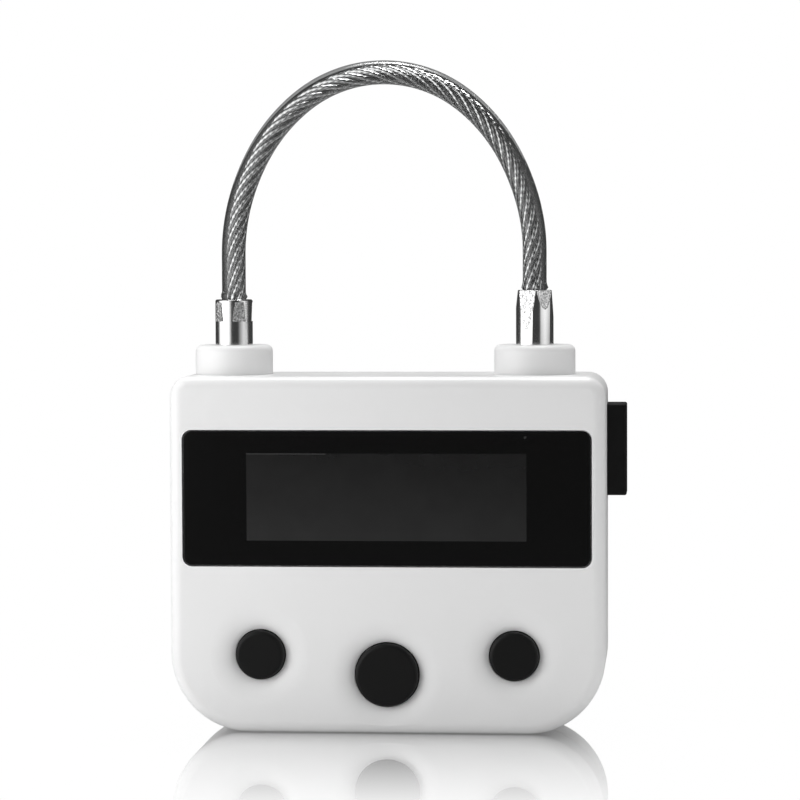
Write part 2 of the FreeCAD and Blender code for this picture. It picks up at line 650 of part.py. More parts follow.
# The display: two glass plates with a ledge below, a light plate behind and a rubber
# contact strip that presses between the ledge and the board.
GLASS_HALF = f"({VIEW_HALF} + dims.glass_side)"
GLASS_X = (f"-{GLASS_HALF}", GLASS_HALF)
GLASS_LOW = f"({DISPLAY_Z} - dims.view_height / 2 - dims.glass_below)"
GLASS_HIGH = f"({DISPLAY_Z} + dims.view_height / 2 + dims.glass_above)"
LEDGE_TOP = f"({GLASS_LOW} + dims.strip_height + 2 * dims.strip_inset)"
PLATE_BACK = f"({INNER_FACE} + dims.glass_thickness / 2)"
front_plate = block("front_plate", GLASS_X, (INNER_FACE, PLATE_BACK), (GLASS_LOW, GLASS_HIGH))
back_plate = block("back_plate", GLASS_X, (PLATE_BACK, GLASS_BACK), (LEDGE_TOP, GLASS_HIGH))
lcd_glass = fuse("lcd_glass", [front_plate, back_plate])
LIGHT_HALF = f"({GLASS_HALF} - dims.backlight_inset)"
lcd_backlight = block("lcd_backlight", (f"-{LIGHT_HALF}", LIGHT_HALF), (GLASS_BACK, BOARD_FRONT),
                      (f"({LEDGE_TOP} + dims.backlight_inset)", f"({GLASS_HIGH} - dims.backlight_inset)"))
STRIP_LOW = f"({GLASS_LOW} + dims.strip_inset)"
lcd_connector = block("lcd_connector", (f"-{LIGHT_HALF}", LIGHT_HALF), (PLATE_BACK, BOARD_FRONT),
                      (STRIP_LOW, f"({STRIP_LOW} + dims.strip_height)"))

# The circuit board, cut away at its lower corners for the case bosses, and its chip.
circuit_board = new_body("circuit_board")
board_outline = new_sketch(circuit_board, "board_outline", "XZ", ahead(BOARD_BACK))
BOARD_HALF = f"({INNER_SIDE} - dims.board_gap)"
draw_polygon(board_outline, [
    ("-dims.board_tongue_half", "dims.board_bottom"),
    ("dims.board_tongue_half", "dims.board_bottom"),
    ("dims.board_tongue_half", "dims.board_tongue_top"),
    (BOARD_HALF, "dims.board_tongue_top"),
    (BOARD_HALF, BOARD_TOP),
    (f"-{BOARD_HALF}", BOARD_TOP),
    (f"-{BOARD_HALF}", "dims.board_tongue_top"),
    ("-dims.board_tongue_half", "dims.board_tongue_top"),
])
for x, z in BOARD_SCREWS:
    draw_circle(board_outline, x, z, PILOT)
pad(circuit_board, board_outline, "dims.board_thickness")
CHIP_X = ("-dims.chip_width / 2", "dims.chip_width / 2")
CHIP_Z = ("(dims.chip_level - dims.chip_width / 2)", "(dims.chip_level + dims.chip_width / 2)")
timer_chip = block("timer_chip", CHIP_X, (BOARD_BACK, f"({BOARD_BACK} + dims.chip_thickness)"), CHIP_Z)

# Each button: a round cap with a flange behind the face, a plunger and a switch.
SWITCH_FRONT = f"({BOARD_FRONT} - dims.switch_height)"
PLUNGER_FRONT = f"({SWITCH_FRONT} - dims.plunger_proud)"
PLUNGER_BACK = f"({SWITCH_FRONT} + dims.plunger_hidden)"
FLANGE_BACK = f"({INNER_FACE} + dims.button_flange)"
SWITCH_HALF = "dims.switch_width / 2"


def button(side, x, z, diameter):
    radius = f"{diameter} / 2"
    flange = f"{diameter} / 2 + dims.flange_overlap"
    front_face = f"{FACE} - dims.button_proud"
    body, cap = turned(f"{side}_button", x, [
        ("0", front_face),
        (radius, front_face),
        (radius, INNER_FACE),
        (flange, INNER_FACE),
        (flange, FLANGE_BACK),
        ("dims.plunger_radius", FLANGE_BACK),
        ("dims.plunger_radius", PLUNGER_FRONT),
        ("0", PLUNGER_FRONT),
    ])
    soften(body, cap, "Fillet", edges_at(cap, "Z", number(front_face)), "dims.button_edge_round")
    body.Placement.Rotation = TURNS["Y"]
    body.setExpression("Placement.Base.z", z)
    plunger = rod(f"{side}_plunger", "Y", (x, PLUNGER_FRONT, z), "dims.plunger_radius",
                  f"{PLUNGER_BACK} - {PLUNGER_FRONT}")
    housing = block(f"{side}_housing", (f"({x} - {SWITCH_HALF})", f"({x} + {SWITCH_HALF})"),
                    (SWITCH_FRONT, BOARD_FRONT), (f"({z} - {SWITCH_HALF})", f"({z} + {SWITCH_HALF})"))
    bore = rod(f"{side}_plunger_bore", "Y", (x, f"({SWITCH_FRONT} - {OVERCUT})", z),
               "dims.plunger_radius + dims.plunger_gap",
               f"dims.plunger_hidden + dims.button_travel + dims.plunger_gap + {OVERCUT}")
    return [body, plunger, cut(f"{side}_switch", housing, [bore])]


button_pieces = [piece for side, sizes in BUTTONS.items() for piece in button(side, *sizes)]

# The collars: bushes whose necks the two halves close round.
FERRULE_BORE = "(dims.ferrule_radius + dims.ferrule_gap)"
COLLAR_TOP = "dims.body_height + dims.collar_height"


def collar(end, x, diameter):
    body, bush = turned(f"{end}_collar", x, [
        (FERRULE_BORE, COLLAR_BOTTOM),
        ("dims.collar_flange_radius", COLLAR_BOTTOM),
        ("dims.collar_flange_radius", INNER_TOP),
        ("dims.collar_neck_radius", INNER_TOP),
        ("dims.collar_neck_radius", TOP),
        (f"{diameter} / 2", TOP),
        (f"{diameter} / 2", COLLAR_TOP),
        (FERRULE_BORE, COLLAR_TOP),
    ])
    rims = edges_at(bush, "Z", number(COLLAR_TOP))
    outer = max(rims, key=lambda name: bush.Shape.getElement(name).Curve.Radius)
    soften(body, bush, "Fillet", [outer], "dims.collar_round")
    return body


heel_collar = collar("heel", HEEL_X, "dims.heel_collar_diameter")
toe_collar = collar("toe", TOE_X, "dims.toe_collar_diameter")

# The ferrules: steel barrels crimped to six flats on the ends of the cable. The heel's is
# pinned for good, and the toe's runs on into a stud with a groove for the bolt.
CABLE_BORE = "(dims.sheath_radius + dims.sheath_gap)"
HEX_SIDE = "(dims.crimp_flats / 2)"
HEX_POINT = "(dims.crimp_flats / sqrt(3))"
HEX_STEP = "(dims.crimp_flats / sqrt(3) / 2)"


def ferrule(end, x, low, groove, high):
    profile = [("0", low), ("dims.ferrule_radius - dims.ferrule_tip_chamfer", low)]
    profile += [("dims.ferrule_radius", f"{low} + dims.ferrule_tip_chamfer")]
    profile += groove
    profile += [
        ("dims.ferrule_radius", high),
        (CABLE_BORE, high),
        (CABLE_BORE, f"{high} - dims.ferrule_bore_depth"),
        ("0", f"{high} - dims.ferrule_bore_depth"),
    ]
    body, barrel = turned(f"{end}_ferrule", x, profile)
    crimp = new_sketch(body, f"{end}_crimp", "XY", f"{high} - dims.crimp_length")
    draw_circle(crimp, "0", "0", f"dims.ferrule_radius + {OVERCUT}")
    draw_polygon(crimp, [
        (HEX_POINT, "0"),
        (HEX_STEP, HEX_SIDE),
        (f"-{HEX_STEP}", HEX_SIDE),
        (f"-{HEX_POINT}", "0"),
        (f"-{HEX_STEP}", f"-{HEX_SIDE}"),
        (HEX_STEP, f"-{HEX_SIDE}"),
    ])
    pocket(body, crimp, f"dims.crimp_length + {OVERCUT}", back=False)
    return body


HEEL_LOW = "(dims.body_height - dims.heel_depth)"
heel_barrel = ferrule("heel", HEEL_X, HEEL_LOW, [], HEEL_TOP)
heel_barrel.Label = "heel_barrel"
cross_hole = rod("heel_cross_hole", "Y", (HEEL_X, f"(-dims.ferrule_radius - {OVERCUT})", PIN_Z), PIN_HOLE,
                 f"2 * dims.ferrule_radius + {2 * OVERCUT}")
heel_ferrule = cut("pinned_ferrule", heel_barrel, [cross_hole])
heel_ferrule.Label = "heel_ferrule"
GROOVE_LOW = f"{LATCH_Z} - dims.groove_height / 2"
GROOVE_HIGH = f"{LATCH_Z} + dims.groove_height / 2"
toe_ferrule = ferrule("toe", TOE_X, TOE_TIP, [
    ("dims.ferrule_radius", GROOVE_LOW),
    ("dims.groove_radius", GROOVE_LOW),
    ("dims.groove_radius", GROOVE_HIGH),
    ("dims.ferrule_radius", GROOVE_HIGH),
], TOE_TOP)
heel_pin = rod("heel_pin", "Y", (HEEL_X, "-dims.heel_pin_length / 2", PIN_Z), "dims.heel_pin_radius",
               "dims.heel_pin_length")

# The toe's sleeve: a blind socket with a window in its side for the bolt's fork.
sleeve_body, sleeve_turned = turned("sleeve_tube", TOE_X, [
    ("0", SLEEVE_BOTTOM),
    (SLEEVE_RADIUS, SLEEVE_BOTTOM),
    (SLEEVE_RADIUS, COLLAR_BOTTOM),
    (SLEEVE_BORE, COLLAR_BOTTOM),
    (SLEEVE_BORE, TOE_TIP),
    ("0", TOE_TIP),
])
FORK_ROOM = "(dims.bolt_half_width + dims.fork_gap)"
BOLT_ROOM = "(dims.bolt_thickness / 2 + dims.fork_gap)"
sleeve_window = block("sleeve_window", (f"({TOE_X} - {SLEEVE_RADIUS} - {OVERCUT})", TOE_X),
                      (f"(-{FORK_ROOM})", FORK_ROOM),
                      (f"({LATCH_Z} - {BOLT_ROOM})", f"({LATCH_Z} + {BOLT_ROOM})"))
toe_sleeve = cut("toe_sleeve", sleeve_body, [sleeve_window])

# The cable: straight legs, two shoulder arcs and a tighter arc over the top. The rope fills
# the sheath, and both end at the bottom of the ferrules' bores.
LOOP_X = f"(({HEEL_X} + {TOE_X}) / 2)"
LOOP_HALF = f"(({TOE_X} - {HEEL_X}) / 2)"
TURN_COSINE = "cos(dims.loop_shoulder_turn * 1 deg)"
SHOULDER = f"(({LOOP_HALF} - dims.loop_top_radius * {TURN_COSINE}) / (1 - {TURN_COSINE}))"
LOOP_CENTRE = "(dims.body_height + dims.loop_height - dims.loop_top_radius)"
HEEL_START = f"({HEEL_TOP} - dims.ferrule_bore_depth)"
TOE_START = f"({TOE_TOP} - dims.ferrule_bore_depth)"


def draw_loop(sketch):
    """The cable's centreline in the XZ plane, from the heel over the top to the toe."""
    middle, half = number(LOOP_X), number(LOOP_HALF)
    top_radius, shoulder = number("dims.loop_top_radius"), number(SHOULDER)
    turn = math.radians(number("dims.loop_shoulder_turn"))
    top_z = number(LOOP_CENTRE)
    shoulder_z = top_z + (top_radius - shoulder) * math.sin(turn)
    up = FreeCAD.Vector(0, 0, 1)

    def leg(x, start, end):
        return Part.LineSegment(FreeCAD.Vector(x, start, 0), FreeCAD.Vector(x, end, 0))

    def arc(x, z, radius, start, end):
        return Part.ArcOfCircle(Part.Circle(FreeCAD.Vector(x, z, 0), up, radius), start, end)

    left, right = middle - half, middle + half
    heel = sketch.addGeometry(leg(left, number(HEEL_START), shoulder_z), False)
    rising = sketch.addGeometry(arc(left + shoulder, shoulder_z, shoulder, math.pi - turn, math.pi), False)
    over = sketch.addGeometry(arc(middle, top_z, top_radius, turn, math.pi - turn), False)
    falling = sketch.addGeometry(arc(right - shoulder, shoulder_z, shoulder, 0, turn), False)
    toe = sketch.addGeometry(leg(right, shoulder_z, number(TOE_START)), False)
    for geometry in (heel, toe):
        sketch.addConstraint(Sketcher.Constraint("Vertical", geometry))
    for one, end, other, start in ((heel, 2, rising, 2), (rising, 1, over, 2), (over, 1, falling, 2),
                                   (falling, 1, toe, 1)):
        sketch.addConstraint(Sketcher.Constraint("Tangent", one, end, other, start))
    for geometry, radius in ((over, "dims.loop_top_radius"), (rising, SHOULDER)):
        at = sketch.addConstraint(Sketcher.Constraint("Radius", geometry, number(radius)))
        sketch.setExpression(f"Constraints[{at}]", radius)
    sketch.addConstraint(Sketcher.Constraint("Equal", rising, falling))
    for geometry, point, x, z in ((over, 3, LOOP_X, LOOP_CENTRE), (heel, 1, HEEL_X, HEEL_START),
                                  (toe, 2, TOE_X, TOE_START)):
        hold(sketch, "DistanceX", geometry, point, x)
        hold(sketch, "DistanceY", geometry, point, z)


def strand(name, radii):
    """A body swept along the cable's centreline, with one circle for each radius."""
    body = new_body(name)
    section = new_sketch(body, f"{name}_section", "XY", HEEL_START)
    for radius in radii:
        draw_circle(section, HEEL_X, "0", radius)
    spine = new_sketch(body, f"{name}_spine", "XZ")
    draw_loop(spine)
    doc.recompute()
    sweep = body.newObject("PartDesign::AdditivePipe", f"{name}_sweep")
    sweep.Profile = section
    sweep.Spine = (spine, [f"Edge{n}" for n in range(1, len(spine.Geometry) + 1)])
    return body


cable_sheath = strand("cable_sheath", ["dims.sheath_radius", "dims.rope_radius + dims.rope_gap"])
wire_rope = strand("wire_rope", ["dims.rope_radius"])

# The bolt: a flat slide with a fork at its tip and a rack along its back edge. It rests
# drawn back, and slides to the right to take the stud's groove between its prongs.
TEETH_AHEAD = 3
SPARE_TEETH = 2
PITCH = "(pi * dims.tooth_module)"
RACK_ROOT = f"({RACK_PITCH_Y} - dims.dedendum_ratio * dims.tooth_module)"
BOLT_Z = f"({LATCH_Z} - dims.bolt_thickness / 2)"
BOLT_BACK = f"({FORK_TIP} - dims.bolt_length)"
FORK_HALF = "(dims.groove_radius + dims.fork_gap)"
FORK_BOTTOM = f"({FORK_TIP} - dims.fork_depth)"
RACK_END = f"({DRIVE_X} + {TEETH_AHEAD} * {PITCH})"
bolt_plate = new_body("bolt_plate")
bolt_outline = new_sketch(bolt_plate, "bolt_outline", "XY", BOLT_Z)
draw_polygon(bolt_outline, [
    (BOLT_BACK, "-dims.bolt_half_width"),
    (FORK_TIP, "-dims.bolt_half_width"),
    (FORK_TIP, f"-{FORK_HALF}"),
    (FORK_BOTTOM, f"-{FORK_HALF}"),
    (FORK_BOTTOM, FORK_HALF),
    (FORK_TIP, FORK_HALF),
    (FORK_TIP, "dims.bolt_half_width"),
    (RACK_END, "dims.bolt_half_width"),
    (RACK_END, RACK_ROOT),
    (BOLT_BACK, RACK_ROOT),
])
pad(bolt_plate, bolt_outline, "dims.bolt_thickness")

# Half of the backlash is taken from the rack's teeth and half from the pinion's, and each
# flank of a tooth gives up half of that.
pressure_angle = math.radians(size("pressure_angle"))
module = size("tooth_module")
half_tooth = math.pi * module / 4 - size("tooth_backlash") / 4
pitch_radius = number(PITCH_RADIUS)
bolt_level = number(BOLT_Z)
thickness = size("bolt_thickness")
TOOTH_BITE = 0.1


def prism(points, height):
    """An upright solid from a list of corners at the bolt's level."""
    corners = [FreeCAD.Vector(x, y, bolt_level) for x, y in points]
    return Part.Face(Part.makePolygon(corners + corners[:1])).extrude(FreeCAD.Vector(0, 0, height))


def rack_tooth(x):
    """One tooth, whose foot is sunk a little into the plate."""
    root, tip = number(RACK_ROOT) - TOOTH_BITE, size("bolt_half_width")
    spread = math.tan(pressure_angle)
    low = half_tooth + (number(RACK_PITCH_Y) - root) * spread
    high = half_tooth - (tip - number(RACK_PITCH_Y)) * spread
    return prism([(x - low, root), (x + low, root), (x + high, tip), (x - high, tip)], thickness)


teeth_behind = math.ceil(size("bolt_travel") / number(PITCH)) + SPARE_TEETH
rack = doc.addObject("Part::Feature", "rack")
rack.Shape = Part.Compound([
    rack_tooth(number(DRIVE_X) + (n + 0.5) * number(PITCH)) for n in range(-teeth_behind, TEETH_AHEAD)
])
latch_bolt = fuse("latch_bolt", [bolt_plate, rack])

# The pinion on the motor's shaft, with involute teeth, one of them pointing into the rack
# at rest.
base_radius = pitch_radius * math.cos(pressure_angle)
outer_radius = pitch_radius + module
root_radius = pitch_radius - size("dedendum_ratio") * module
FLANK_POINTS = 5


def involute(radius):
    """How far an involute has turned from its base circle at a radius."""
    slope = math.sqrt(max((radius / base_radius) ** 2 - 1, 0))
    return slope - math.atan(slope)


def pinion_outline(teeth):
    half_angle = half_tooth / pitch_radius + involute(pitch_radius)
    steps = [base_radius + (outer_radius - base_radius) * n / (FLANK_POINTS - 1) for n in range(FLANK_POINTS)]
    rising = [(radius, -half_angle + involute(radius)) for radius in [root_radius] + steps]
    flanks = rising + [(radius, -angle) for radius, angle in reversed(rising)]
    outline = []
    for tooth in range(teeth):
        middle = 2 * math.pi * tooth / teeth - math.pi / 2
        for radius, angle in flanks:
            at = middle + angle
            outline.append((radius * math.cos(at), radius * math.sin(at)))
    return outline


shaft_bore = Part.makeCylinder(size("shaft_radius") + size("shaft_gap"), thickness,
                               FreeCAD.Vector(0, 0, bolt_level))
drive_pinion = doc.addObject("Part::Feature", "drive_pinion")
drive_pinion.Shape = prism(pinion_outline(int(size("pinion_teeth"))), thickness).cut(shaft_bore)
bind(drive_pinion, {"Placement.Base.x": DRIVE_X, "Placement.Base.y": DRIVE_Y})

# The gear motor stands below the pinion, and its shaft carries the pinion.
SHAFT_HOLE = "(dims.shaft_radius + dims.saddle_gap)"
GEARBOX_LOW = f"({MOTOR_TOP} - dims.gearbox_length)"
gear_motor, motor_can = turned("gear_motor", DRIVE_X, [
    ("0", MOTOR_BOTTOM),
    ("dims.motor_radius", MOTOR_BOTTOM),
    ("dims.motor_radius", f"{GEARBOX_LOW} - dims.gearbox_seam"),
    ("dims.motor_radius - dims.gearbox_seam", f"{GEARBOX_LOW} - dims.gearbox_seam"),
    ("dims.motor_radius - dims.gearbox_seam", GEARBOX_LOW),
    ("dims.motor_radius", GEARBOX_LOW),
    ("dims.motor_radius", MOTOR_TOP),
    (SHAFT_HOLE, MOTOR_TOP),
    (SHAFT_HOLE, f"{MOTOR_TOP} - dims.shaft_hidden"),
    ("0", f"{MOTOR_TOP} - dims.shaft_hidden"),
])
gear_motor.setExpression("Placement.Base.y", DRIVE_Y)
motor_shaft = rod("motor_shaft", "Z", (DRIVE_X, DRIVE_Y, f"({MOTOR_TOP} - dims.shaft_hidden)"),
                  "dims.shaft_radius", "dims.shaft_hidden + dims.motor_face_gap + dims.bolt_thickness")

# The guide: a block on the front half's face and ceiling with a channel for the bolt.
GUIDE_RIGHT = f"({FORK_TIP} - dims.guide_offset)"
GUIDE_X = (f"({GUIDE_RIGHT} - dims.guide_length)", GUIDE_RIGHT)
CHANNEL = "(dims.bolt_thickness / 2 + dims.bolt_gap)"
guide_block = block("guide_block", GUIDE_X, (INNER_FACE, "dims.guide_back"),
                    (f"({LATCH_Z} - {CHANNEL} - dims.guide_wall)", INNER_TOP))
guide_channel = block("guide_channel", (f"({GUIDE_X[0]} - {OVERCUT})", f"({GUIDE_X[1]} + {OVERCUT})"),
                      ("(-dims.bolt_half_width - dims.bolt_gap)", f"(dims.guide_back + {OVERCUT})"),
                      (f"({LATCH_Z} - {CHANNEL})", f"({LATCH_Z} + {CHANNEL})"))
latch_guide = cut("latch_guide", guide_block, [guide_channel])

# The charging port: a steel shell on its own small board, and the rubber plug that
# closes the opening in the wall.
PORT_MOUTH = f"({INNER_SIDE} - dims.port_set_back)"
PORT_END = f"({PORT_MOUTH} - dims.port_shell_length)"
PORT_HALF_Z = "dims.port_shell_height / 2"
PORT_Y_SPAN = (CHARGE_BACK, f"({CHARGE_BACK} + dims.port_shell_width)")
PORT_Z_SPAN = (f"({PORT_Z} - {PORT_HALF_Z})", f"({PORT_Z} + {PORT_HALF_Z})")
port_block = block("port_block", (PORT_END, PORT_MOUTH), PORT_Y_SPAN, PORT_Z_SPAN)
HOLLOW_Y = (f"({PORT_Y_SPAN[0]} + dims.port_shell_wall)", f"({PORT_Y_SPAN[1]} - dims.port_shell_wall)")
HOLLOW_Z = (f"({PORT_Z_SPAN[0]} + dims.port_shell_wall)", f"({PORT_Z_SPAN[1]} - dims.port_shell_wall)")
port_hollow = block("port_hollow", (f"({PORT_END} + dims.port_shell_wall)", f"({PORT_MOUTH} + {OVERCUT})"),
                    HOLLOW_Y, HOLLOW_Z)
port_shell = cut("port_shell", port_block, [port_hollow])
port_contacts = block("port_contacts", (f"({PORT_END} + dims.port_shell_wall)",
                      f"({PORT_END} + dims.port_shell_wall + dims.port_contacts_length)"), HOLLOW_Y, HOLLOW_Z)
charge_board_block = block("charge_board_block", (CHARGE_LEFT, CHARGE_RIGHT), (CHARGE_FRONT, CHARGE_BACK),
                           (CHARGE_BOTTOM, PORT_Z_SPAN[1]))
charge_hole_start = (CHARGE_SCREW[0], f"({CHARGE_FRONT} - {OVERCUT})", CHARGE_SCREW[1])
charge_hole = rod("charge_board_hole", "Y", charge_hole_start, PILOT,
                  f"dims.charge_board_thickness + {2 * OVERCUT}")
charge_board = cut("charge_board", charge_board_block, [charge_hole])
plug_head = new_body("plug_head")
head_outline = new_sketch(plug_head, "plug_outline", "YZ", SIDE)
draw_rounded(head_outline, f"{PORT_Y} - dims.plug_width / 2", f"{PORT_Y} + dims.plug_width / 2",
             f"{PORT_Z} - dims.plug_height / 2", f"{PORT_Z} + dims.plug_height / 2",
             "dims.plug_corner", "dims.plug_corner")
head_pad = pad(plug_head, head_outline, "dims.plug_thickness")
soften(plug_head, head_pad, "Fillet", edges_at(head_pad, "X", number(f"{SIDE} + dims.plug_thickness")),
       "dims.plug_round")
plug_neck = block("plug_neck", (INNER_SIDE, SIDE),
                  (f"({PORT_Y} - dims.plug_neck_width / 2)", f"({PORT_Y} + dims.plug_neck_width / 2)"),
                  (f"({PORT_Z} - dims.plug_neck_height / 2)", f"({PORT_Z} + dims.plug_neck_height / 2)"))
TONGUE_Y = (f"({PORT_Y} - dims.plug_tongue_width / 2)", f"({PORT_Y} + dims.plug_tongue_width / 2)")
TONGUE_Z = (f"({PORT_Z} - dims.plug_tongue_height / 2)", f"({PORT_Z} + dims.plug_tongue_height / 2)")
TONGUE_X = (f"({PORT_MOUTH} - dims.plug_tongue_length)", INNER_SIDE)
plug_tongue = block("plug_tongue", TONGUE_X, TONGUE_Y, TONGUE_Z)
port_plug = fuse("port_plug", [plug_head, plug_neck, plug_tongue])

# The battery pouch, taped to the back wall below the motor.
battery_cell = new_body("battery_cell")
TAPE_FRONT = f"({INNER_BACK} - dims.tape_thickness)"
battery_outline = new_sketch(battery_cell, "battery_outline", "XZ", ahead(TAPE_FRONT))
BATTERY_HIGH = f"({MOTOR_BOTTOM} - dims.battery_gap)"
BATTERY_LOW = f"({BATTERY_HIGH} - dims.battery_height)"
BATTERY_LEFT = "(dims.battery_shift - dims.battery_length / 2)"
BATTERY_RIGHT = "(dims.battery_shift + dims.battery_length / 2)"
draw_rounded(battery_outline, BATTERY_LEFT, BATTERY_RIGHT, BATTERY_LOW, BATTERY_HIGH,
             "dims.battery_round", "dims.battery_round")
pad(battery_cell, battery_outline, "dims.battery_thickness")
battery_tape = block("battery_tape",
                     (f"({BATTERY_LEFT} + dims.tape_inset)", f"({BATTERY_RIGHT} - dims.tape_inset)"),
                     (TAPE_FRONT, INNER_BACK),
                     (f"({BATTERY_LOW} + dims.tape_inset)", f"({BATTERY_HIGH} - dims.tape_inset)"))


def screw(name, x, z, seat, length, forward):
    """A pan-head screw along Y: its shank runs forward or back from the seat of its head."""
    head_at = seat if forward else f"({seat} - dims.screw_head_height)"
    shank_at = f"({seat} - ({length}))" if forward else seat
    head = rod(f"{name}_head", "Y", (x, head_at, z), "dims.screw_head_radius", "dims.screw_head_height")
    shank = rod(f"{name}_shank", "Y", (x, shank_at, z), "dims.screw_radius", length)
    return fuse(name, [head, shank])


def group(name, pieces):
    """Like fasteners kept together as one compound of separate solids."""
    together = doc.addObject("Part::Compound", name)
    together.Links = pieces
    return together


# The screws: four hold the halves together from the back, four hold the circuit board and
# one the charging board.
case_screws = group("case_screws", [
    screw(f"case_screw_{n}", x, z, HEAD_SEAT, f"{HEAD_SEAT} - {CASE_TIP}", forward=True)
    for n, (x, z) in enumerate(CASE_SCREWS)
])
through = "dims.board_screw_length + dims.board_thickness"
small_screws = [
    screw(f"board_screw_{n}", x, z, BOARD_BACK, through, forward=True)
    for n, (x, z) in enumerate(BOARD_SCREWS)
]
small_screws.append(screw("charge_screw", *CHARGE_SCREW, CHARGE_FRONT,
                          "dims.board_screw_length + dims.charge_board_thickness", forward=False))
board_screws = group("board_screws", small_screws)

NODES = [
    front_shell, rear_shell, window, lcd_glass, lcd_backlight, lcd_connector, circuit_board,
    timer_chip, heel_collar, toe_collar, heel_ferrule, toe_ferrule, heel_pin, toe_sleeve, cable_sheath,
    wire_rope, latch_bolt, latch_guide, drive_pinion, motor_shaft, gear_motor, port_shell, port_contacts,
    charge_board, port_plug, battery_cell, battery_tape, case_screws, board_screws,
] + button_pieces

doc.recompute()
failed = [o.Name for o in doc.Objects if "Invalid" in o.State or "Error" in o.State]
if failed:
    raise RuntimeError(f"these objects failed: {failed}")
os.makedirs("parts", exist_ok=True)
for node in NODES:
    if node.Shape.isNull() or not node.Shape.isValid():
        raise RuntimeError(f"{node.Label} has no valid shape")
for node in NODES:
    node.Shape.exportStep(f"parts/{node.Label}.step")

turn = math.radians(size("loop_shoulder_turn"))
shoulder_z = number(LOOP_CENTRE) + (size("loop_top_radius") - number(SHOULDER)) * math.sin(turn)
straight = 2 * shoulder_z - number(HEEL_START) - number(TOE_START)
curved = 2 * turn * number(SHOULDER) + (math.pi - 2 * turn) * size("loop_top_radius")
route = straight + curved
steel = math.pi * size("rope_radius") ** 2 * route
print(f"cable {route:.1f} mm long, arcs {number(SHOULDER):.1f} and {size('loop_top_radius'):.1f} mm")
print(f"rope volume {wire_rope.Shape.Volume:.2f}, section times length {steel:.2f}")
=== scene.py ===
"""Timed cable padlock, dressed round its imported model. Lengths are in metres; the profiles of the
turned pieces are in millimetres."""
import math

import bmesh
import bpy
from mathutils import Matrix, Vector


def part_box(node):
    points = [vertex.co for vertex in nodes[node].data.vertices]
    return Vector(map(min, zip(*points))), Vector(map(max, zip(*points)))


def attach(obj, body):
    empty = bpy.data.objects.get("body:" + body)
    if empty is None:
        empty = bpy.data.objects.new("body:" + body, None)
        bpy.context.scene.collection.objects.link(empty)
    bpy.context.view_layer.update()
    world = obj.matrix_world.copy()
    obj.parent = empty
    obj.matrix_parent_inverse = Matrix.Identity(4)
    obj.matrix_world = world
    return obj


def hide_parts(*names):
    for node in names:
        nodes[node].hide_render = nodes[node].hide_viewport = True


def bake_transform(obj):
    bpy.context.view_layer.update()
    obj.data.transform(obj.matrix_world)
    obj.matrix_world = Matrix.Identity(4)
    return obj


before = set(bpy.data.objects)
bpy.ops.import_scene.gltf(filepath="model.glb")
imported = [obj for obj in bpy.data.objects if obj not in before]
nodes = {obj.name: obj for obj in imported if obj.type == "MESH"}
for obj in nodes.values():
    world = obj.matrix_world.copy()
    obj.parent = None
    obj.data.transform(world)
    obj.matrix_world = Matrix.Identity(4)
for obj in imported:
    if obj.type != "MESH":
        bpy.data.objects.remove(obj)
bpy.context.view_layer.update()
MM = 0.001


# The camera stands low in front, a little to the right, and looks slightly down through a
# long lens, as the photograph does.
LENS = 143.25
CAMERA_PLACE = (43.0 * MM, -478.8 * MM, 72.5 * MM)
YAW, PITCH, ROLL = 4.977, 2.759, -0.219
camera_data = bpy.data.cameras.new("camera")
camera_data.lens = LENS
camera = bpy.data.objects.new("camera", camera_data)
bpy.context.scene.collection.objects.link(camera)
upright = Matrix.Rotation(math.radians(YAW), 3, "Z") @ Matrix.Rotation(math.radians(90 - PITCH), 3, "X")
camera.rotation_euler = (upright @ Matrix.Rotation(math.radians(ROLL), 3, "Z")).to_euler()
camera.location = CAMERA_PLACE
bpy.context.scene.camera = camera
bpy.context.scene.view_settings.view_transform = "Standard"


# The lamps: a soft panel close by at the left, a wide one at the right, and one overhead and a
# little behind. Each dims towards its edges, and what is polished shows them as bands on dark.
LAMPS_FACE = Vector((0, 0, 50 * MM))
EDGE_DIMMING = 1


class Wire:
    """A socket of a node tree: sums and products on it add Math nodes, and add() any other node."""

    def __init__(self, tree, socket=None):
        self.tree = tree
        self.socket = socket

    def add(self, kind, settings=None, sockets=None, output=0):
        """A new node with these settings, and with these values or wires on its sockets."""
        node = self.tree.nodes.new(kind)
        for name, value in (settings or {}).items():
            setattr(node, name, value)
        for name, value in (sockets or {}).items():
            if isinstance(value, Wire):
                self.tree.links.new(value.socket, node.inputs[name])
            else:
                node.inputs[name].default_value = value
        return Wire(self.tree, node.outputs[output] if len(node.outputs) else None)

    def maths(self, operation, first, second=0.0):
        return self.add("ShaderNodeMath", {"operation": operation}, {0: first, 1: second})

    def __add__(self, other):
        return self.maths("ADD", self, other)

    def __sub__(self, other):
        return self.maths("SUBTRACT", self, other)

    def __rsub__(self, other):
        return self.maths("SUBTRACT", other, self)

    def __mul__(self, other):
        return self.maths("MULTIPLY", self, other)

    def __truediv__(self, other):
        return self.maths("DIVIDE", self, other)

    def __or__(self, other):
        return self.maths("MAXIMUM", self, other)

    def __and__(self, other):
        return self.maths("MINIMUM", self, other)

    def __abs__(self):
        return self.maths("ABSOLUTE", self)

    def __lt__(self, other):
        return self.maths("LESS_THAN", self, other)

    def __gt__(self, other):
        return self.maths("GREATER_THAN", self, other)

    __radd__ = __add__
    __rmul__ = __mul__


